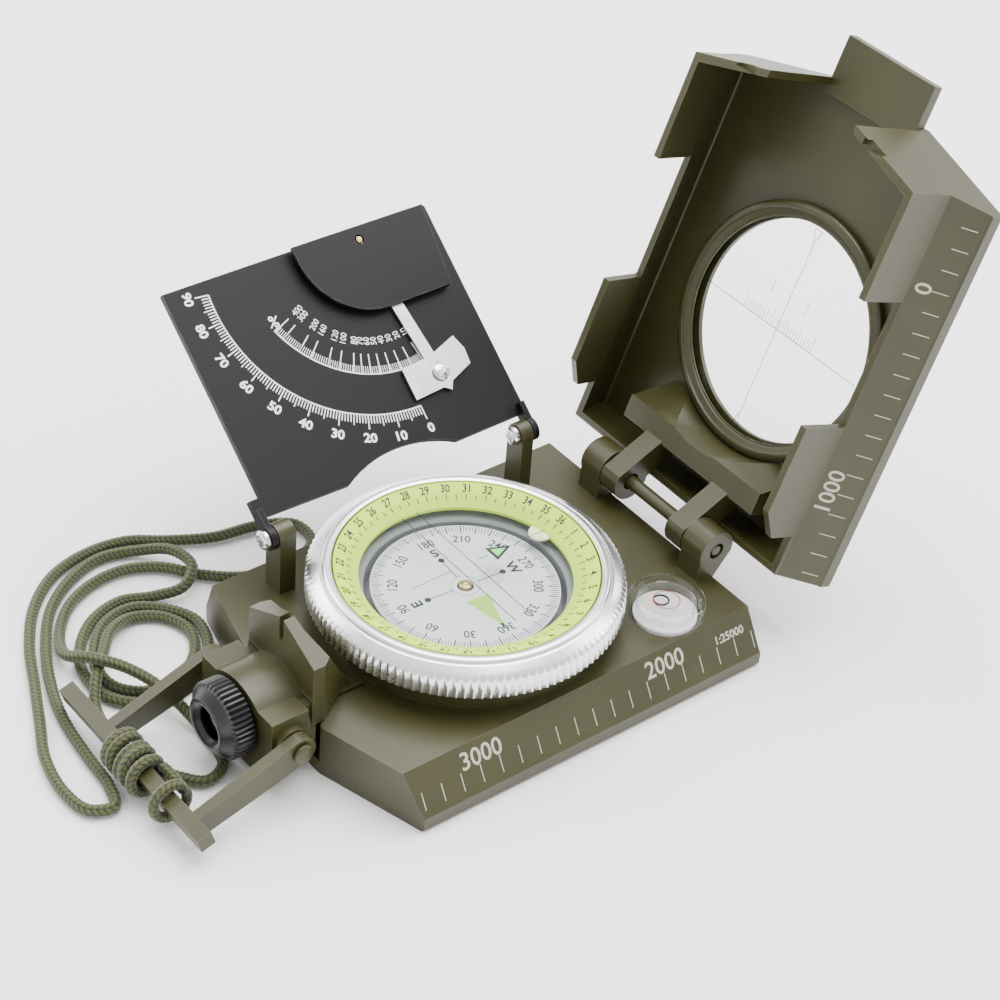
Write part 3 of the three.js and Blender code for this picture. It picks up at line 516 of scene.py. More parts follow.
class Shape:
    """A bmesh in millimetres that becomes a piece in the compass's frame."""

    def __init__(self, name: str) -> None:
        """Starts an empty shape."""
        self.name = name
        self.bm = bmesh.new()

    def lathe(self, profile: Sequence[Point], steps: int) -> Shape:
        """Spins a profile about Z.

        Args:
            profile: Points of (radius, height); a loop is closed unless it ends on the axis.
            steps: Steps in a full turn.

        Returns:
            The shape itself.
        """
        part = bmesh.new()
        verts = [part.verts.new((r, 0, z)) for r, z in profile]
        ring = list(zip(verts, verts[1:]))
        if profile[0][0] > 0 or profile[-1][0] > 0:
            ring.append((verts[-1], verts[0]))
        edges = [part.edges.new(pair) for pair in ring]
        bmesh.ops.spin(
            part,
            geom=verts + edges,
            axis=(0, 0, 1),
            cent=(0, 0, 0),
            angle=math.tau,
            steps=steps,
            use_merge=True,
        )
        bmesh.ops.remove_doubles(part, verts=part.verts, dist=MERGE)
        return self._take(part, None)

    def slab(self, outline: Sequence[Point], low: float, high: float) -> Shape:
        """Extrudes a flat outline along Z.

        Args:
            outline: Its corners.
            low: Height of its underside.
            high: Height of its top.

        Returns:
            The shape itself.
        """
        part = bmesh.new()
        verts = [part.verts.new((x, y, low)) for x, y in outline]
        face = part.faces.new(verts)
        made = bmesh.ops.extrude_face_region(part, geom=[face])["geom"]
        top = [v for v in made if isinstance(v, bmesh.types.BMVert)]
        bmesh.ops.translate(part, verts=top, vec=(0, 0, high - low))
        return self._take(part, None)

    def rod(
        self, radius: float, low: float, high: float, at: Matrix | None = None, sides: int = 32
    ) -> Shape:
        """Adds a round bar along Z.

        Args:
            radius: Its radius.
            low: Height of the low end.
            high: Height of the high end.
            at: Where the bar goes.
            sides: Sides round it.

        Returns:
            The shape itself.
        """
        part = bmesh.new()
        bmesh.ops.create_cone(
            part,
            cap_ends=True,
            segments=sides,
            radius1=radius,
            radius2=radius,
            depth=high - low,
            matrix=Matrix.Translation((0, 0, (low + high) / 2)),
        )
        return self._take(part, at)

    def brick(self, size: Triple, at: Matrix | None = None) -> Shape:
        """Adds a block of a size, centred on its place."""
        part = bmesh.new()
        bmesh.ops.create_cube(part, size=1, matrix=Matrix.Diagonal((*size, 1)))
        return self._take(part, at)

    def _take(self, part: bmesh.types.BMesh, at: Matrix | None) -> Shape:
        """Adds a part, with its faces turned outwards."""
        bmesh.ops.recalc_face_normals(part, faces=part.faces)
        if at is not None:
            bmesh.ops.transform(part, matrix=at, verts=part.verts)
        mesh = bpy.data.meshes.new("part")
        part.to_mesh(mesh)
        part.free()
        self.bm.from_mesh(mesh)
        bpy.data.meshes.remove(mesh)
        return self

    def flute(self, least: float, teeth: int, cut: Callable[[float, float], float]) -> Shape:
        """Cuts flutes round a turned shape.

        Args:
            least: Points farther out than this are moved.
            teeth: Flutes in a full turn.
            cut: A point's new radius, from its radius and the cosine of its place in a flute.

        Returns:
            The shape itself.
        """
        for vert in self.bm.verts:
            reach = math.hypot(vert.co.x, vert.co.y)
            if reach > least:
                turned = math.degrees(math.atan2(vert.co.y, vert.co.x)) * teeth / 360
                scale = cut(reach, math.cos(math.tau * turned)) / reach
                vert.co.x, vert.co.y = vert.co.x * scale, vert.co.y * scale
        return self

    def soften(self, width: float, angle: float = 30, segments: int = 2) -> Shape:
        """Rounds every edge that is sharper than an angle.

        Args:
            width: Width of the rounding.
            angle: Smallest angle that is rounded, in degrees.
            segments: Faces across the rounding.

        Returns:
            The shape itself.
        """
        least = math.radians(angle)
        sharp = [
            e for e in self.bm.edges if e.is_manifold and e.calc_face_angle(0) > least
        ]
        bmesh.ops.bevel(
            self.bm,
            geom=sharp,
            offset=width,
            offset_type="OFFSET",
            segments=segments,
            profile=0.5,
            affect="EDGES",
            clamp_overlap=True,
            material=-1,
            loop_slide=True,
        )
        return self

    def carve(self, cutter: Shape) -> Shape:
        """Cuts another shape out of this one.

        Args:
            cutter: What is cut away; it is used up.

        Returns:
            The shape itself.
        """
        objects = []
        for shape in (self, cutter):
            mesh = bpy.data.meshes.new("carve")
            shape.bm.to_mesh(mesh)
            shape.bm.free()
            objects.append(bpy.data.objects.new("carve", mesh))
            bpy.context.scene.collection.objects.link(objects[-1])
        boolean = objects[0].modifiers.new("cut", "BOOLEAN")
        boolean.operation, boolean.solver, boolean.object = "DIFFERENCE", "EXACT", objects[1]
        ready = objects[0].evaluated_get(bpy.context.evaluated_depsgraph_get())
        self.bm = bmesh.new()
        self.bm.from_mesh(ready.to_mesh())
        ready.to_mesh_clear()
        for obj in objects:
            mesh = obj.data
            bpy.data.objects.remove(obj)
            bpy.data.meshes.remove(mesh)
        return self

    def finish(
        self,
        finish: Finish,
        body: str,
        replaces: Iterable[str] = (),
        at: Matrix | None = None,
        smooth: float = 35,
    ) -> bpy.types.Object:
        """Makes the piece, in metres, and ties it to its body.

        Args:
            finish: Its surface.
            body: Body that carries it.
            replaces: CAD nodes that it stands for.
            at: Place of the shape's own frame, in millimetres.
            smooth: Edges flatter than this are shaded smooth, in degrees.

        Returns:
            The piece.
        """
        place = Matrix.Scale(MM, 4) @ (at or Matrix.Identity(4))
        bmesh.ops.transform(self.bm, matrix=place, verts=self.bm.verts)
        mesh = bpy.data.meshes.new(self.name)
        self.bm.to_mesh(mesh)
        self.bm.free()
        mesh.shade_smooth()
        mesh.set_sharp_from_angle(angle=math.radians(smooth))
        piece = bpy.data.objects.new(self.name, mesh)
        bpy.context.scene.collection.objects.link(piece)
        mesh.materials.append(finish.material())
        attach(piece, body)
        nodes = list(replaces)
        if nodes:
            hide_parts(*nodes)
        LOG.info("%s rides on %s, %d faces", self.name, body, len(mesh.polygons))
        return piece


class Print(Shape):
    """Marks printed on a flat face, as films a fiftieth of a millimetre thick."""

    FILM = 0.02

    def bar(self, at: Point, length: float, width: float, degrees: float) -> Print:
        """A straight mark.

        Args:
            at: Its middle.
            length: Its length.
            width: Its width.
            degrees: Its direction from the face's own X.

        Returns:
            The print itself.
        """
        place = Matrix.Translation((*at, 0)) @ turn(degrees, "Z")
        self.brick((length, width, self.FILM), place)
        return self

    def line(self, start: Point, end: Point, width: float) -> Print:
        """A straight mark between two points."""
        along = Vector(end) - Vector(start)
        middle = (Vector(start) + Vector(end)) / 2
        angle = math.degrees(math.atan2(along.y, along.x))
        return self.bar(tuple(middle), along.length, width, angle)

    def ray(self, centre: Point, inner: float, outer: float, degrees: float, width: float) -> Print:
        """A mark that points away from a centre.

        Args:
            centre: The centre.
            inner: Where the mark starts.
            outer: Where it ends.
            degrees: Its direction.
            width: Its width.

        Returns:
            The print itself.
        """
        x, y = polar((inner + outer) / 2, degrees)
        return self.bar((centre[0] + x, centre[1] + y), outer - inner, width, degrees)

    def arc(self, centre: Point, radius: float, start: float, end: float, width: float) -> Print:
        """A curved mark about a centre.

        Args:
            centre: The centre.
            radius: Radius of its middle line.
            start: First angle, in degrees.
            end: Last angle, in degrees.
            width: Its width.

        Returns:
            The print itself.
        """
        steps = max(3, round(abs(end - start) / 3))
        angles = [start + (end - start) * i / steps for i in range(steps + 1)]
        rim = [polar(radius + width / 2, a) for a in angles]
        rim += [polar(radius - width / 2, a) for a in reversed(angles)]
        outline = [(centre[0] + x, centre[1] + y) for x, y in rim]
        self.slab(outline, -self.FILM / 2, self.FILM / 2)
        return self

    def spot(self, at: Point, radius: float) -> Print:
        """A round dot."""
        self.rod(radius, -self.FILM / 2, self.FILM / 2, Matrix.Translation((*at, 0)), 20)
        return self

    def text(
        self, words: str, at: Point, height: float, degrees: float = 0, narrow: float = 1,
        weight: float = 0.0, frame: Matrix | None = None,
    ) -> Print:
        """Figures, centred on a point.

        Args:
            words: What is printed.
            at: Middle of the figures.
            height: Height of a figure.
            degrees: Direction of reading.
            narrow: Width against the plain figure's.
            weight: How much the strokes are thickened, in millimetres.
            frame: A place for this text alone.

        Returns:
            The print itself.
        """
        curve = bpy.data.curves.new("figures", "FONT")
        curve.body, curve.align_x, curve.align_y = words, "CENTER", "CENTER"
        curve.size, curve.resolution_u = 1.0, 3
        curve.extrude = self.FILM / 2 / height
        curve.offset = weight / height
        obj = bpy.data.objects.new("figures", curve)
        bpy.context.scene.collection.objects.link(obj)
        ready = obj.evaluated_get(bpy.context.evaluated_depsgraph_get())
        mesh = bpy.data.meshes.new_from_object(ready)
        part = bmesh.new()
        part.from_mesh(mesh)
        bpy.data.meshes.remove(mesh)
        bpy.data.objects.remove(obj)
        bpy.data.curves.remove(curve)
        low = min(v.co.y for v in part.verts)
        high = max(v.co.y for v in part.verts)
        middle = (min(v.co.x for v in part.verts) + max(v.co.x for v in part.verts)) / 2
        size = height / (high - low)
        centred = Matrix.Translation((-middle, -(low + high) / 2, 0))
        scaled = Matrix.Diagonal((size * narrow, size, height, 1))
        place = Matrix.Translation((*at, 0)) @ turn(degrees, "Z") @ scaled @ centred
        bmesh.ops.transform(part, matrix=(frame or Matrix.Identity(4)) @ place, verts=part.verts)
        bmesh.ops.remove_doubles(part, verts=part.verts, dist=MERGE)
        self._take(part, None)
        return self


def cast(
    nodes: dict[str, bpy.types.Object], node: str, finish: Finish, body: str,
    width: float = 0.25, segments: int = 2, flat: float = 1.0,
) -> bpy.types.Object:
    """Copies a CAD node, rounds its corners and dresses it.

    Args:
        nodes: CAD nodes by name.
        node: Node that is copied and replaced.
        finish: Its surface.
        body: Body that carries it.
        width: Rounding of its corners, in millimetres.
        segments: Faces across a rounding.
        flat: Faces that meet flatter than this are joined, in degrees.

    Returns:
        The piece.
    """
    shape = Shape(node + "_cast")
    shape.bm.from_mesh(nodes[node].data)
    bm = shape.bm
    bmesh.ops.transform(bm, matrix=Matrix.Scale(1 / MM, 4), verts=bm.verts)
    bmesh.ops.remove_doubles(bm, verts=bm.verts, dist=1e-3)
    bmesh.ops.dissolve_limit(
        bm,
        angle_limit=math.radians(flat),
        verts=bm.verts,
        edges=bm.edges,
    )
    if width:
        shape.soften(width, 25, segments)
    bmesh.ops.triangulate(bm, faces=[f for f in bm.faces if len(f.verts) > 4])
    piece = shape.finish(finish, body, [node])
    weighted = piece.modifiers.new("even shading", "WEIGHTED_NORMAL")
    weighted.keep_sharp = True
    return piece


# ---------------------------------------------------------------- view


@dataclass(frozen=True)
class View:
    """The camera: at eye height above the compass, a little tilted."""

    place: Triple = (0.270375, -0.227644, 0.316277)
    azimuth: float = 49.15
    elevation: float = 38.467
    roll: float = 4.89
    lens: float = 97.05

    def make(self) -> None:
        """Adds the camera and gives it to the scene."""
        az, el, roll = (math.radians(a) for a in (self.azimuth, self.elevation, self.roll))
        back = Vector((math.sin(az) * math.cos(el), -math.cos(az) * math.cos(el), math.sin(el)))
        right = Vector((math.cos(az), math.sin(az), 0))
        up = back.cross(right)
        side = right * math.cos(roll) + up * math.sin(roll)
        head = up * math.cos(roll) - right * math.sin(roll)
        data = bpy.data.cameras.new("view")
        data.lens, data.sensor_width = self.lens, 36.0
        data.clip_start, data.clip_end = 0.01, 20.0
        camera = bpy.data.objects.new("view", data)
        bpy.context.scene.collection.objects.link(camera)
        matrix = Matrix((side, head, back)).transposed().to_4x4()
        matrix.translation = Vector(self.place)
        camera.matrix_world = matrix
        bpy.context.scene.camera = camera


@dataclass(frozen=True)
class Studio:
    """A pale floor under an even sky and three large soft lamps."""

    floor: Color = (0.97, 0.97, 0.97)
    sky: float = 1.25
    lamps: tuple[tuple[str, Triple, float, float], ...] = (
        ("overhead", (-0.10, 0.25, 0.95), 0.9, 20.0),
        ("left", (-0.85, -0.25, 0.55), 0.6, 7.0),
        ("back", (0.15, 0.95, 0.55), 0.7, 9.0),
    )

    def make(self, low: float) -> None:
        """Adds the floor, the sky and the lamps.

        Args:
            low: Height of the floor, in metres.
        """
        part = bmesh.new()
        bmesh.ops.create_grid(
            part, x_segments=2, y_segments=2, size=3.0, matrix=Matrix.Translation((0, 0, low))
        )
        mesh = bpy.data.meshes.new("floor")
        part.to_mesh(mesh)
        part.free()
        floor = bpy.data.objects.new("floor", mesh)
        bpy.context.scene.collection.objects.link(floor)
        shader = Shader("pale_floor")
        cloud = shader.noise(0.4, 2)
        shader.put(Base_Color=shader.mix(cloud, shade(self.floor, 0.985), self.floor))
        shader.put(Roughness=0.8)
        mesh.materials.append(shader.material)
        world = bpy.data.worlds.new("studio")
        bpy.context.scene.world = world
        world.use_nodes = True
        world.node_tree.nodes["Background"].inputs[0].default_value = (1, 1, 1, 1)
        world.node_tree.nodes["Background"].inputs[1].default_value = self.sky
        for name, place, size, power in self.lamps:
            data = bpy.data.lights.new(name, "AREA")
            data.shape, data.size, data.energy = "SQUARE", size, power
            lamp = bpy.data.objects.new(name, data)
            bpy.context.scene.collection.objects.link(lamp)
            lamp.location = place
            aim = Vector((0, 0.01, 0.02)) - Vector(place)
            lamp.rotation_euler = aim.to_track_quat("-Z", "Y").to_euler()


# ---------------------------------------------------------------- lanyard


@dataclass
class Lanyard:
    """The braided cord: hitched round the bail's crossbar and coiled beside the base."""

    diameter: float = 2.15
    sides: int = 30
    step: float = 0.22
    columns: int = 6
    stitch: float = 0.95
    relief: float = 0.2
    wraps: int = 5
    wrap_steps: int = 14
    wrap_start: float = -9.2
    wrap_end: float = 0.4
    wrap_radius: float = 3.0
    wrap_diameter: float = 1.95
    last_wrap: float = 5.9
    tilt: float = 18.0
    route: tuple[Triple, ...] = (
        (-3.4, -59.6, 1.6), (-0.6, -57.6, 1.3), (2.6, -54.4, 1.3), (1, -50.2, 1.3),
        (-5, -48.7, 1.3), (-12, -48.8, 2.4), (-18.6, -50.6, 4.6), (-24.5, -53.6, 5.8),
        (-30, -57, 5.4), (-35, -58.6, 3), (-41.4, -56.2, 1.3), (-47.2, -51, 1.3),
        (-50.3, -44.5, 1.3), (-50.6, -37.6, 1.3), (-47.6, -31.6, 1.3), (-42, -26.8, 1.3),
        (-37, -20, 1.3), (-35.8, -12, 1.3), (-38.5, -5, 1.3), (-44.5, -4.5, 1.3),
        (-48, -10.5, 1.3), (-49.6, -19, 1.3), (-53.4, -26.6, 1.3), (-57.4, -33.2, 1.3),
        (-58.2, -41, 1.3), (-56, -49, 1.3), (-50.4, -56, 1.3), (-42, -61.8, 1.3),
        (-33, -66, 1.3), (-24.4, -70, 1.3), (-16.4, -73.6, 1.3), (-8, -75, 1.3),
        (-2.4, -73.8, 1.3), (-0.8, -70, 1.3), (-5.4, -68.2, 1.3), (-13, -67.6, 1.3),
        (-23, -66.3, 1.3), (-32.2, -63.4, 1.3), (-41.2, -59, 1.3), (-48.6, -53.6, 1.3),
        (-53.6, -46.6, 1.3), (-55.7, -39.6, 1.3), (-53.6, -33, 1.6), (-48.6, -28.8, 3.4),
        (-42.6, -28.2, 3.6), (-39.6, -32, 2.6), (-41.6, -37, 1.3), (-43.6, -42.6, 1.3),
        (-42, -49, 1.3), (-37.6, -54.2, 1.3), (-31.2, -57.6, 1.3), (-24.4, -57.6, 1.3),
        (-19.4, -53.6, 1.3), (-18, -47.4, 1.3), (-20.4, -41, 1.3), (-25.6, -35.8, 1.3),
        (-32, -34.2, 1.3), (-37.2, -36.8, 1.3), (-41, -41.8, 1.3), (-40.2, -47.6, 1.3),
        (-36.2, -52.2, 1.3), (-30.4, -55.2, 1.3), (-24.8, -54.8, 1.3), (-21, -50.6, 1.3),
        (-21.2, -44.6, 1.3), (-25, -39, 1.3), (-30.8, -36.6, 1.3), (-36.2, -38.8, 1.3),
        (-38.6, -43.6, 1.5), (-36.2, -49, 2.8), (-31.4, -53.4, 3.6), (-27, -57.4, 3.6),
        (-22, -60.6, 1.6), (-15.4, -61.6, 1.25), (-10.8, -61.9, 1.25),
    )

    def smooth_line(self, points: Sequence[Vector], step: float) -> list[Vector]:
        """A centripetal Catmull-Rom line through points, at even steps.

        Args:
            points: Points that it passes.
            step: Distance between the points that come back.

        Returns:
            Points along the line.
        """
        ends = [points[0] * 2 - points[1], *points, points[-1] * 2 - points[-2]]
        dense = []
        for a, b, c, d in zip(ends, ends[1:], ends[2:], ends[3:]):
            knots = [0.0]
            for p, q in ((a, b), (b, c), (c, d)):
                knots.append(knots[-1] + max(1e-6, (q - p).length) ** 0.5)
            t0, t1, t2, t3 = knots
            for i in range(16):
                t = t1 + (t2 - t1) * i / 16
                ab = a * ((t1 - t) / (t1 - t0)) + b * ((t - t0) / (t1 - t0))
                bc = b * ((t2 - t) / (t2 - t1)) + c * ((t - t1) / (t2 - t1))
                cd = c * ((t3 - t) / (t3 - t2)) + d * ((t - t2) / (t3 - t2))
                left = ab * ((t2 - t) / (t2 - t0)) + bc * ((t - t0) / (t2 - t0))
                right = bc * ((t3 - t) / (t3 - t1)) + cd * ((t - t1) / (t3 - t1))
                dense.append(left * ((t2 - t) / (t2 - t1)) + right * ((t - t1) / (t2 - t1)))
        dense.append(points[-1])
        total = sum((b - a).length for a, b in zip(dense, dense[1:]))
        count = round(total / step)
        line, done, goal = [dense[0]], 0.0, total / count
        for a, b in zip(dense, dense[1:]):
            span = (b - a).length
            while len(line) < count and done + span >= goal * len(line):
                line.append(a.lerp(b, (goal * len(line) - done) / span))
            done += span
        return [*line, dense[-1]]

    def woven(self, around: float, along: float) -> float:
        """Height of the braid, from 0 in a gap to 1 on a stitch.

        Args:
            around: Place round the cord, from 0 to 1.
            along: Place along it, in millimetres.

        Returns:
            The height.
        """
        column = around * self.columns
        across = column % 1
        slant = across if int(column) % 2 == 0 else 1 - across
        strand = abs(math.sin(math.pi * (along / self.stitch + 0.8 * slant)))
        edge = math.sin(math.pi * min(1.0, max(0.0, across))) ** 0.35
        return strand**0.7 * (0.35 + 0.65 * edge)

    def tube(self, name: str, line: Sequence[Vector], diameter: float) -> Shape:
        """Sweeps the braid along a line.

        Args:
            name: The piece's name.
            line: Points of its middle.
            diameter: Its thickness.

        Returns:
            The swept shape.
        """
        shape = Shape(name)
        bm = shape.bm
        rings = len(line)
        bmesh.ops.create_grid(bm, x_segments=self.sides, y_segments=rings - 1, size=0.5)
        braid = bm.verts.layers.float.new("braid")
        frames = []
        normal = Vector((0, 0, 1))
        for i, here in enumerate(line):
            way = (line[min(i + 1, rings - 1)] - line[max(i - 1, 0)]).normalized()
            normal = (normal - way * normal.dot(way)).normalized()
            frames.append((here, normal, way.cross(normal)))
        for vert in bm.verts:
            around, place = vert.co.x + 0.5, round((vert.co.y + 0.5) * (rings - 1))
            here, normal, side = frames[place]
            angle = math.tau * around
            height = self.woven(around, place * self.step)
            vert[braid] = height
            radius = diameter / 2 * (1 - self.relief + self.relief * height)
            vert.co = here + (normal * math.cos(angle) + side * math.sin(angle)) * radius
        bmesh.ops.remove_doubles(bm, verts=bm.verts, dist=MERGE)
        bmesh.ops.holes_fill(bm, edges=[e for e in bm.edges if e.is_boundary], sides=0)
        bmesh.ops.recalc_face_normals(bm, faces=bm.faces)
        return shape

    def make(self) -> None:
        """Makes the free cord and its turns round the crossbar."""
        line = self.smooth_line([Vector(p) for p in self.route], self.step)
        length = sum((b - a).length for a, b in zip(line, line[1:]))
        cord = self.tube("lanyard_braid", line, self.diameter).finish(
            Finish.CORD, "base", ["lanyard_cord"], smooth=180
        )
        hitch = self.hitch()
        [c * MM for c in line[0]]
        [[c * MM for c in p] for p in line[::4] + [line[-1]]]

    def hitch(self) -> bpy.types.Object:
        """Makes the turns round the crossbar.

        Returns:
            The piece.
        """
        low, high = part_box("lanyard_hitch")
        middle = (Vector(low) + Vector(high)) / 2 / MM
        tilt = turn(self.tilt, "X")

        def wrap(i: int, x: float) -> Vector:
            """A point of a turn, by its step and its place along the crossbar."""
            y, z = polar(self.wrap_radius, 360 * i / self.wrap_steps)
            point = tilt @ Vector((0, y, z))
            return Vector((x, middle.y + point.y, middle.z + point.z))

        total = self.wraps * self.wrap_steps
        points = []
        for i in range(total + 1):
            sway = 0.35 * math.sin(math.pi * i / self.wrap_steps + 1)
            along = self.wrap_start + (self.wrap_end - self.wrap_start) * i / total
            points.append(wrap(i, along + sway))
        points.append(points[-1] + Vector((2.2, 0.2, 0.1)))
        for i in range(self.wrap_steps + 1):
            points.append(wrap(i, self.last_wrap + 1.2 * i / self.wrap_steps))
        line = self.smooth_line(points, self.step)
        shape = self.tube("lanyard_turns", line, self.wrap_diameter)
        return shape.finish(Finish.CORD, "bail", ["lanyard_hitch"], smooth=180)


# ---------------------------------------------------------------- base


@dataclass
class Ruler:
    """A map ruler printed on the sloping edge of the base or the lid."""

    name: str
    body: str
    first: float
    ticks: int
    labels: tuple[tuple[str, float, float], ...]
    place: Matrix = field(default_factory=lambda: Matrix.Identity(4))
    rise: float = 7.0
    step: float = 4.0
    foot: Point = (30.8, 3.4)
    shift: float = -4.3

    def make(self) -> None:
        """Prints the ticks and the figures."""
        up = Vector((self.shift, 0, self.rise)).normalized()
        along = Vector((0, 1, 0))
        normal = along.cross(up)
        frame = Matrix((along, up, normal)).transposed().to_4x4()
        frame.translation = Vector((self.foot[0], 0, self.foot[1])) + normal * 0.01
        marks = Print(self.name)
        for i in range(self.ticks):
            y = self.first + i * self.step
            marks.line((y, 0.7), (y, 3.85), 0.16)
        for words, y, height in self.labels:
            above = 3.9 + height / 2 if height > 2 else 4.9
            marks.text(words, (y, above), height, weight=0.03)
        marks.finish(Finish.RULER_INK, self.body, at=self.place @ frame)


@dataclass
class Base:
    """Cast base with its cover plate, screws, hinge pin and map ruler."""

    nodes: dict[str, bpy.types.Object]
    ruler_first: float = -30.2
    screw_radius: float = 2.2

    def make(self) -> None:
        """Builds the base."""
        cast(self.nodes, "base_casing", Finish.OLIVE, "base", 0.3)
        cast(self.nodes, "bottom_cover", Finish.BLACK, "base", 0.15)
        for i in range(1, 5):
            self.cover_screw(f"cover_screw_{i}")
        self.pin()
        Ruler(
            "base_ruler",
            "base",
            self.ruler_first,
            19,
            (("3000", -17.4, 3.1), ("2000", 22.4, 3.1), ("1:25000", 37.2, 1.55)),
        ).make()

    def cover_screw(self, node: str) -> None:
        """A pan-headed screw with a cross recess, head down.

        Args:
            node: CAD node that it replaces.
        """
        low, high = box_mm(node)
        x, y = (low.x + high.x) / 2, (low.y + high.y) / 2
        r = self.screw_radius
        profile = [
            (0, 0.1), (r - 0.5, 0.1), (r - 0.15, 0.2), (r, 0.45), (r, 0.5),
            (1.2, 0.5), (1.2, high.z), (0, high.z),
        ]
        head = Shape(node + "_head").lathe(profile, 32)
        for size in ((2.4, 0.5, 0.6), (0.5, 2.4, 0.6)):
            head.carve(Shape("cross").brick(size))
        head.finish(Finish.SCREW, "base", [node], at=Matrix.Translation((x, y, 0)))

    def pin(self) -> None:
        """The hinge pin, with domed ends."""
        low, high = box_mm("hinge_pin")
        r, half = (high.z - low.z) / 2, (high.x - low.x) / 2
        profile = [
            (0, -half), (r - 0.4, -half), (r, -half + 0.4),
            (r, half - 0.4), (r - 0.4, half), (0, half),
        ]
        place = Matrix.Translation((low + high) / 2) @ turn(90, "Y")
        Shape("lid_pin").lathe(profile, 32).finish(Finish.OLIVE, "base", ["hinge_pin"], at=place)


# ---------------------------------------------------------------- dial


@dataclass
class Dial:
    """Liquid capsule with its printed card on a jewelled pivot."""

    nodes: dict[str, bpy.types.Object]
    north: float = -4.0
    radius: float = 16.5
    top: float = 16.1

    def make(self) -> None:
        """Builds the capsule, the card and its print."""
        low, high = box_mm("capsule_cup")
        outer, bore = high.x, 17.6
        # The bowl takes the grey capsule finish, which is painted shade on white plastic.
        Shape("capsule_bowl").lathe(
            [
                (0, low.z), (outer, low.z), (outer, high.z - 0.3), (outer - 0.3, high.z),
                (bore + 0.5, high.z), (bore, high.z - 0.5), (bore, low.z + 2),
                (bore - 0.5, low.z + 1.5), (0, low.z + 1.5),
            ],
            144,
        ).finish(Finish.CUP, "base", ["capsule_cup"])
        low, high = box_mm("capsule_crystal")
        Shape("capsule_window").lathe(
            [
                (0, low.z), (high.x, low.z), (high.x, high.z - 0.15), (high.x - 0.15, high.z),
                (0, high.z),
            ],
            96,
        ).finish(Finish.CLEAR, "base", ["capsule_crystal"])
        Shape("card_disc").lathe(
            [
                (1.5, self.top - 0.5), (self.radius, self.top - 0.5), (self.radius, self.top - 0.1),
                (self.radius - 0.1, self.top), (1.5, self.top),
            ],
            144,
        ).finish(Finish.CARD, "card", ["compass_card"])
        self.fittings()
        self.print_card()

    def fittings(self) -> None:
        """The pivot pin, the jewel cap and the magnet."""
        low, high = box_mm("pivot_pin")
        Shape("needle_pivot").lathe(
            [
                (0, low.z), (1.4, low.z), (1.4, low.z + 0.5), (1.2, low.z + 0.7),
                (0.45, low.z + 0.9), (0.45, high.z - 0.6), (0.2, high.z - 0.15), (0, high.z),
            ],
            24,
        ).finish(Finish.SCREW, "base", ["pivot_pin"])
        low, high = box_mm("jewel_cap")
        top = high.z
        Shape("jewel_bearing").lathe(
            [
                (0.8, low.z), (high.x, low.z), (high.x, low.z + 1.1), (1.15, low.z + 1.2),
                (1.15, top - 0.3), (0.95, top - 0.08), (0.6, top), (0.5, top - 0.15),
                (0, top - 0.2), (0, top - 0.6), (0.5, top - 1.0), (0.8, top - 1.2),
            ],
            32,
        ).finish(Finish.BRASS, "card", ["jewel_cap"])
        cast(self.nodes, "card_magnet", Finish.MAGNET, "card", 0.1)

    def print_card(self) -> None:
        """Degree ticks, figures, letters, dots and the north arrow."""
        ink, centre = Print("card_figures"), (0, 0)
        for degree in range(0, 360, 2):
            major, middle = degree % 10 == 0, degree % 10 == 4
            inner = 14.3 if major else 14.7 if middle else 14.9
            width = 0.22 if major else 0.13
            ink.ray(centre, inner, 16.2, self.north - degree, width)
        for degree in range(0, 360, 30):
            angle = self.north - degree
            words = "360" if degree == 0 else str(degree)
            ink.text(words, polar(12.6, angle), 1.85, angle - 90, 0.85, 0.02)
        for word, degree in (("E", 90), ("S", 180), ("W", 270)):
            angle = self.north - degree
            ink.text(word, polar(9.9, angle), 2.0, angle - 90, 1.1, 0.06)
            ink.spot(polar(7.7, angle), 0.58)
            ink.ray(centre, 2.6, 7.7, angle, 0.17)
        ink.arc(centre, 2.55, 0, 360, 0.07)
        ink.slab(
            [polar(11.2, self.north - 1.8), polar(12.6, self.north), polar(11.2, self.north + 1.8)],
            0.0, 0.03,
        )
        ink.finish(Finish.BLACK_INK, "card", at=Matrix.Translation((0, 0, self.top + 0.01)))
        arrow = Print("north_arrow")
        arrow.slab([(3.7, 2.25), (12.3, 0), (3.7, -2.25)], -0.01, 0.012)
        place = Matrix.Translation((0, 0, self.top + 0.01)) @ turn(self.north, "Z")
        arrow.finish(Finish.LIME_INK, "card", at=place)


# ---------------------------------------------------------------- bezel


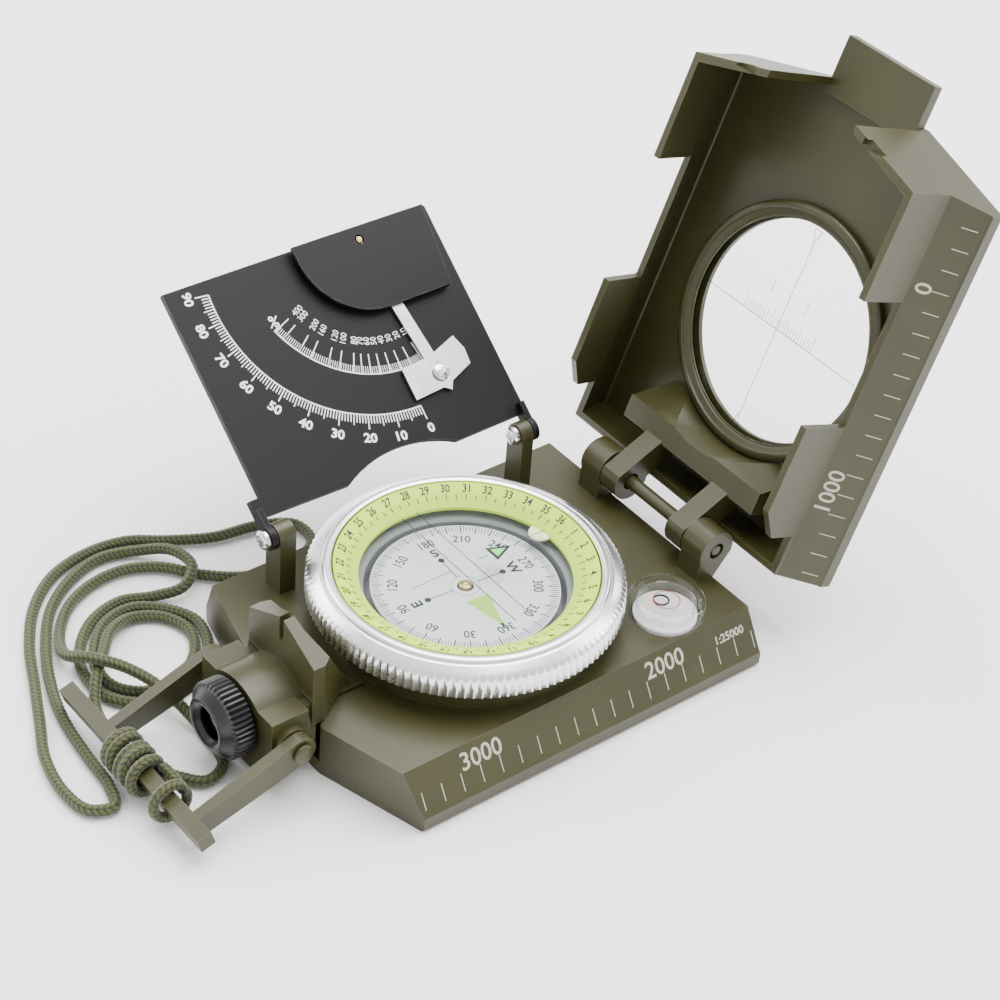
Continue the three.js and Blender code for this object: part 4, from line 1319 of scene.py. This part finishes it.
@dataclass
class Bezel:
    """Knurled bezel with its lime degree ring and the marked window over the dial."""

    radius: float = 27.7
    teeth: int = 120
    depth: float = 0.45
    crown: float = 24.3
    knurl_top: float = 19.0
    ring_outer: float = 22.9
    ring_inner: float = 18.5
    ring_drop: float = 2.3
    start: float = 93.0

    def make(self) -> None:
        """Builds the bezel, the ring, its figures and the window."""
        low, high = box_mm("knurled_bezel")
        self.body(low.z, high.z)
        self.ring(high.z - 0.2)
        self.window()

    def body(self, low: float, top: float) -> None:
        """The turned body, with a knurl cut round its edge.

        Args:
            low: Height of its underside.
            top: Height of its crown.
        """
        rim, bore = self.radius, 22.75
        seat = self.ring_outer + 0.3
        profile = [
            (bore, low), (rim - 0.6, low), (rim, low + 0.45), (rim, low + 2.3),
            (rim, self.knurl_top - 0.35), (rim - 0.45, self.knurl_top + 0.12), (26.4, 19.75),
            (25.4, top - 0.62), (25.28, top - 0.78), (24.95, top - 0.72), (24.85, top - 0.45),
            (self.crown + 0.2, top - 0.12), (self.crown - 0.1, top), (seat + 0.35, top),
            (seat + 0.05, top - 0.15), (seat, top - 0.4), (seat, top - 1.2), (bore, top - 1.5),
        ]
        shape = Shape("bezel_knurl").lathe(profile, self.teeth * 4)
        shape.flute(
            rim - 0.1, self.teeth, lambda _, wave: rim - self.depth * (0.5 + 0.5 * wave) ** 1.5
        )
        shape.finish(Finish.BEZEL, "bezel", ["knurled_bezel"], smooth=40)

    def ring(self, top: float) -> None:
        """The lime funnel with its 36 figures.

        Args:
            top: Height of its outer edge.
        """
        low = top - self.ring_drop
        outer, inner = self.ring_outer, self.ring_inner
        shape = Shape("degree_funnel").lathe(
            [
                (inner, low - 0.6), (outer, top - 0.6), (outer, top - 0.08),
                (outer - 0.1, top), (inner + 0.1, low + 0.05), (inner, low - 0.05),
            ],
            144,
        )
        shape.finish(Finish.LIME, "bezel", ["degree_ring"])
        x, y = polar(18.1, 97)
        tab = Shape("index_tab").rod(2.1, low - 0.5, low - 0.06, sides=40)
        tab.soften(0.08).finish(Finish.TAB, "bezel", at=Matrix.Translation((x, y, 0)))
        slope = math.degrees(math.atan2(self.ring_drop, outer - inner))
        middle = (outer + inner) / 2
        ink = Print("ring_figures")
        for i in range(72):
            angle = self.start - i * 5
            frame = turn(angle, "Z") @ Matrix.Translation((middle, 0, (top + low) / 2 + 0.07))
            frame = frame @ turn(-slope, "Y")
            if i % 2 == 0:
                words = str(i // 2 or 36)
                ink.text(words, (1.2, 0), 1.6, -90, 0.8, 0.03, frame)
            place = frame @ Matrix.Translation((-0.55 if i % 2 else -0.45, 0, 0))
            ink.brick((0.8 if i % 2 else 1.0, 0.16, ink.FILM), place)
        ink.finish(Finish.BLACK_INK, "bezel")

    def window(self) -> None:
        """The window with two lines, an index and a green mark."""
        low, high = box_mm("bezel_crystal")
        reach = high.x
        Shape("bezel_window").lathe(
            [
                (0, low.z), (reach, low.z), (reach, high.z - 0.12), (reach - 0.12, high.z),
                (0, high.z),
            ],
            128,
        ).finish(Finish.CLEAR, "bezel", ["bezel_crystal"])
        ink = Print("window_lines")
        for y in (-1.55, 1.55):
            ink.line((-16.7, y), (15.6, y), 0.17)
        for start, end in ((11.3, 17.6), (2.8, 4.9), (-11.3, -2.8)):
            ink.line((-0.55, start), (-0.55, end), 0.14)
        mark = [(-2.3, 5.6), (1.45, 5.6), (-0.42, 9.9)]
        centre = Vector((sum(x for x, _ in mark) / 3, sum(y for _, y in mark) / 3))
        ink.slab(mark, -0.01, 0.01)
        place = Matrix.Translation((0, 0, high.z + 0.01))
        ink.finish(Finish.BLACK_INK, "bezel", at=place)
        green = Print("window_mark")
        inner = [Vector(p).lerp(centre, 0.42) for p in mark]
        green.slab([tuple(p) for p in inner], 0.0, 0.025)
        green.finish(Finish.GREEN_INK, "bezel", at=place)


# ---------------------------------------------------------------- level


@dataclass
class Level:
    """Round spirit level: white seat, clear dome, red circle and bubble."""

    def make(self) -> None:
        """Builds the level."""
        low, high = box_mm("level_vial")
        x, y = (low.x + high.x) / 2, (low.y + high.y) / 2
        place = Matrix.Translation((x, y, 0))
        reach = (high.x - low.x) / 2
        seat_low, seat_high = box_mm("level_base")
        seat = (seat_high.x - seat_low.x) / 2
        Shape("level_seat").lathe(
            [
                (0, seat_low.z), (seat, seat_low.z), (seat, seat_high.z - 0.15),
                (seat - 0.15, seat_high.z), (0, seat_high.z),
            ],
            64,
        ).finish(Finish.WHITE, "base", ["level_base"], at=place)
        top = high.z
        Shape("level_dome").lathe(
            [
                (0, low.z), (reach - 0.2, low.z), (reach, low.z + 0.2), (reach, top - 0.95),
                (reach - 0.25, top - 0.5), (reach - 0.8, top - 0.22), (reach - 1.6, top - 0.12),
                (2.5, top - 0.02), (0, top),
            ],
            96,
        ).finish(Finish.VIAL, "base", ["level_vial"], at=place)
        floor = low.z + 0.35
        Shape("level_cup").lathe(
            [
                (4.9, floor), (5.3, floor), (5.3, top - 1.1), (5.15, top - 0.95), (4.9, top - 1.1),
            ],
            72,
        ).finish(Finish.VIAL, "base", at=place)
        red = Print("level_circle").arc((0, 0), 2.35, 0, 360, 0.2)
        red.finish(Finish.RED_INK, "base", at=place @ Matrix.Translation((0, 0, top - 0.9)))
        # The bubble is a thin black ring: painted shade for the dark rim that the air bubble shows.
        bubble = Shape("level_bubble_painted_rim").lathe(
            [(1.25, 0), (1.42, 0.06), (1.5, 0.2), (1.42, 0.34), (1.25, 0.4), (1.35, 0.2)], 48
        )
        spot = Matrix.Translation((x - 0.9, y - 0.4, top - 1.6))
        bubble.finish(Finish.BLACK_INK, "base", at=spot)


# ---------------------------------------------------------------- lid


@dataclass
class Lid:
    """Lid with its reticle window and map ruler."""

    nodes: dict[str, bpy.types.Object]
    hinge: Point = (43.1, 15.8)
    angle: float = 69.0
    window: float = 78.3

    @property
    def place(self) -> Matrix:
        """From the lid lying flat open to the lid as it stands."""
        pivot = Matrix.Translation((0, *self.hinge))
        return pivot @ turn(self.angle, "X") @ pivot.inverted()

    def make(self) -> None:
        """Builds the lid, the window and their print."""
        cast(self.nodes, "lid", Finish.OLIVE, "lid", 0.3)
        middle = self.place @ Matrix.Translation((0, self.window, 0))
        Shape("window_step").lathe(
            [
                (20.4, 2.5), (23.4, 2.5), (23.4, 3.15), (23.25, 3.35), (22.5, 3.6), (22.1, 3.58),
                (21.95, 3.4), (21.9, 3.15), (21.75, 3.05), (21.0, 3.0), (20.85, 2.9), (20.75, 2.7),
                (20.4, 2.65),
            ],
            160,
        ).finish(Finish.OLIVE, "lid", ["window_ring"], at=middle)
        Shape("reticle_window").lathe(
            [(0, 1.2), (21.85, 1.2), (22, 1.35), (22, 2.05), (21.85, 2.2), (0, 2.2)], 128
        ).finish(Finish.CLEAR, "lid", ["window_glass"], at=middle)
        self.reticle()
        Ruler(
            "lid_ruler",
            "lid",
            45.84,
            18,
            (("1000", 62.2, 3.1), ("0", 101.84, 3.1)),
            place=self.place,
            rise=6.6,
        ).make()

    def reticle(self) -> None:
        """The sighting cross with its scale."""
        ink, x = Print("reticle"), -0.7
        ink.line((x, 60.8), (x, 95.2), 0.13)
        ink.line((-20.5, 78.2), (19.4, 78.2), 0.13)
        for apex, base in ((95.2, 98.0), (60.8, 58.1)):
            corners = [(x - 0.15, apex), (x - 1.0, base), (x + 0.85, base)]
            for start, end in zip(corners, corners[1:] + corners[:1]):
                ink.line(start, end, 0.12)
        for i in range(26):
            height = 3.0 if i % 5 == 0 else 2.0
            at = -9.5 + i * 0.7
            ink.line((at, 78.2), (at, 78.2 + height), 0.1)
        for at in (-5.2, 3.6):
            ink.line((at, 83.3), (at, 86.0), 0.12)
        ink.finish(Finish.BLACK_INK, "lid", at=self.place @ Matrix.Translation((0, 0, 2.21)))


# ---------------------------------------------------------------- clinometer


@dataclass
class Clinometer:
    """Hinged plate with two slope scales and a pendulum under a hood."""

    nodes: dict[str, bpy.types.Object]
    axis: Triple = (-23.0, 0.0, 22.2)
    lean: float = 52.0
    pivot: Point = (16.1, 43.3)
    swing: float = 6.8
    degrees_centre: Point = (13.17, 40.08)
    percent_centre: Point = (14.44, 41.29)
    percent_sweep: float = 76.5
    fine_ticks: int = 76

    @property
    def face(self) -> Matrix:
        """The plate's face: X reads along the plate, Y runs up it."""
        lean = math.radians(self.lean)
        normal = Vector((math.cos(lean), 0, math.sin(lean)))
        up = Vector((-math.sin(lean), 0, math.cos(lean)))
        matrix = Matrix((Vector((0, 1, 0)), up, normal)).transposed().to_4x4()
        matrix.translation = Vector(self.axis)
        return matrix

    def make(self) -> None:
        """Builds the plate, its print, the hood and the pendulum."""
        cast(self.nodes, "clinometer_plate", Finish.BLACK, "clinometer", 0.18)
        cast(self.nodes, "pendulum_hood", Finish.BLACK, "clinometer", 0.35, 3)
        cast(self.nodes, "pendulum", Finish.STEEL, "pendulum", 0.08)
        self.rivet()
        at = self.face @ Matrix.Translation((*self.pivot, 0))
        Shape("pivot_end").lathe(
            [(0, 0.3), (0.6, 0.3), (0.6, 1.75), (0.45, 1.88), (0, 1.9)], 24
        ).finish(Finish.BRASS, "clinometer", ["pendulum_pin"], at=at)
        self.hinge_screw("tilt_screw_rear")
        self.hinge_screw("tilt_screw_front")
        self.scales()

    def rivet(self) -> None:
        """The screw that holds the pendulum's weight."""
        turned = math.radians(self.swing)
        y, s = 0.2, -27.9
        at = (
            self.pivot[0] + y * math.cos(turned) - s * math.sin(turned),
            self.pivot[1] + y * math.sin(turned) + s * math.cos(turned),
        )
        head = Shape("weight_screw").lathe(
            [
                (0, 0.3), (0.7, 0.3), (0.7, 1.15), (1.6, 1.15), (1.6, 1.35), (1.4, 1.55),
                (0.9, 1.68), (0, 1.72),
            ],
            40,
        )
        slot = Matrix.Translation((0, 0, 1.75)) @ turn(35, "Z")
        head.carve(Shape("slot").brick((2.2, 0.35, 0.5), slot))
        place = self.face @ Matrix.Translation((*at, 0))
        head.finish(Finish.SCREW, "pendulum", ["pendulum_rivet"], at=place)

    def hinge_screw(self, node: str) -> None:
        """A cross-headed hinge screw, its head towards the rear.

        Args:
            node: CAD node that it replaces.
        """
        low, high = box_mm(node)
        length, head = high.y - low.y, 1.0
        shape = Shape(node + "_cross").lathe(
            [
                (0, 0), (1.1, 0), (1.1, length - head), (1.8, length - head),
                (1.8, length - 0.45), (1.6, length - 0.18), (1.1, length), (0, length),
            ],
            36,
        )
        for size in ((2.4, 0.48, 1.0), (0.48, 2.4, 1.0)):
            shape.carve(Shape("cross").brick(size, Matrix.Translation((0, 0, length))))
        middle = ((low.x + high.x) / 2, high.y, (low.z + high.z) / 2)
        place = Matrix.Translation(middle) @ turn(90, "X") @ turn(20, "Z")
        shape.finish(Finish.SCREW, "clinometer", [node], at=place)

    def scales(self) -> None:
        """The scale in degrees and the scale in per cent."""
        ink = Print("clinometer_scales")
        centre, first, rate = self.degrees_centre, -89.8, -1.075
        ink.arc(centre, 28.63, first, first + rate * 90, 0.24)
        for degree in range(91):
            angle = first + rate * degree
            outer = 31.3 if degree % 10 == 0 else 30.7 if degree % 5 == 0 else 30.2
            width = 0.24 if degree % 10 == 0 else 0.2
            ink.ray(centre, 28.63, outer, angle, width)
        for degree in range(0, 91, 10):
            angle = first + rate * degree
            x, y = polar(32.95 - degree * 0.003, angle)
            ink.text(str(degree), (centre[0] + x, centre[1] + y), 1.8, angle + 90, 1.1, 0.06)
        centre = self.percent_centre
        zero, rate, reach = -75.0, -1.104, 22.54
        ink.arc(centre, reach, zero, zero + rate * self.percent_sweep, 0.26)
        labels = (10, 20, 30, 40, 50, 60, 70, 80, 100, 120, 160, 200, 300, 400)
        for percent in labels:
            angle = zero + rate * math.degrees(math.atan(percent / 100))
            ink.ray(centre, 18.8, reach, angle, 0.2)
            x, y = polar(16.35, angle)
            place = (centre[0] + x, centre[1] + y)
            ink.text(str(percent), place, 1.15, angle + 180, 0.95)
        for i in range(self.fine_ticks + 1):
            angle = zero + rate * self.percent_sweep * i / self.fine_ticks
            ink.ray(centre, 21.1, reach, angle, 0.12)
        ink.text("%", (-6.0, 34.9), 2.2, -14, 1.0, 0.03)
        ink.finish(
            Finish.WHITE_INK, "clinometer", at=self.face @ Matrix.Translation((0, 0, 0.01))
        )


# ---------------------------------------------------------------- sight and bail


@dataclass
class Sight:
    """Sight bracket with its focusing eyepiece."""

    nodes: dict[str, bpy.types.Object]
    teeth: int = 44
    rib_depth: float = 0.45

    def make(self) -> None:
        """Builds the bracket and the eyepiece."""
        cast(self.nodes, "sight_bracket", Finish.OLIVE, "base", 0.3)
        cast(self.nodes, "sight_prism", Finish.CLEAR, "base", 0.08)
        self.knob()

    def knob(self) -> None:
        """The ribbed knob and the lens inside it."""
        low, high = box_mm("focus_knob")
        length, height = high.y - low.y, (low.z + high.z) / 2
        ribs = 4.1
        profile = [
            (3.9, 0), (6.2, 0), (6.9, 0.35), (7.0, 0.8), (7.0, ribs - 0.6), (6.85, ribs - 0.2),
            (6.3, ribs), (6.0, ribs + 0.15), (4.95, length - 0.15), (4.7, length),
            (3.9, length), (3.6, length - 0.2), (3.0, length - 0.9), (3.0, length - 1.2),
            (3.9, length - 1.3),
        ]
        shape = Shape("eyepiece_knob").lathe(profile, self.teeth * 6)
        shape.flute(
            6.8, self.teeth, lambda reach, wave: reach - self.rib_depth * max(0.0, wave) ** 0.8
        )
        place = Matrix.Translation((0, high.y, height)) @ turn(90, "X")
        shape.finish(Finish.KNOB, "eyepiece", ["focus_knob"], at=place)
        low, high = box_mm("eyepiece_lens")
        thick = high.y - low.y
        # The ocular takes the near-black lens finish, which is painted shade.
        Shape("ocular").lathe(
            [
                (0, 0), (3.5, 0), (3.6, 0.1), (3.6, thick - 0.5), (3.4, thick - 0.35),
                (2, thick - 0.1), (0, thick),
            ],
            64,
        ).finish(
            Finish.LENS, "eyepiece", ["eyepiece_lens"],
            at=Matrix.Translation((0, high.y, height)) @ turn(90, "X"),
        )


@dataclass
class Bail:
    """Folding bail with its two rivets."""

    nodes: dict[str, bpy.types.Object]

    def make(self) -> None:
        """Builds the bail and the rivets."""
        cast(self.nodes, "bail", Finish.OLIVE, "bail", 0.3)
        for side, way in (("left", -1), ("right", 1)):
            self.rivet(f"bail_rivet_{side}", way)

    def rivet(self, node: str, way: int) -> None:
        """A domed rivet.

        Args:
            node: CAD node that it replaces.
            way: Side that its head is on.
        """
        low, high = box_mm(node)
        length = high.x - low.x
        shape = Shape(node + "_dome").lathe(
            [
                (0, 0), (1.0, 0), (1.0, length - 0.9), (1.8, length - 0.9), (1.8, length - 0.5),
                (1.5, length - 0.2), (0.8, length - 0.02), (0, length),
            ],
            32,
        )
        start = low.x if way > 0 else high.x
        place = Matrix.Translation((start, (low.y + high.y) / 2, (low.z + high.z) / 2))
        shape.finish(Finish.OLIVE, "base", [node], at=place @ turn(90 * way, "Y"))


# ---------------------------------------------------------------- the whole


def main() -> None:
    """Builds the view, the lanyard and every sub-assembly in order."""
    logging.basicConfig(level=logging.INFO, format="%(message)s")
    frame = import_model()
    nodes = frame["nodes"]
    View().make()
    Lanyard().make()
    for part in (
        Base(nodes), Dial(nodes), Bezel(), Level(), Lid(nodes), Clinometer(nodes),
        Sight(nodes), Bail(nodes),
    ):
        part.make()
        LOG.info("%s is dressed", type(part).__name__)
    Studio().make(0.0)


if __name__ == "__main__":
    main()
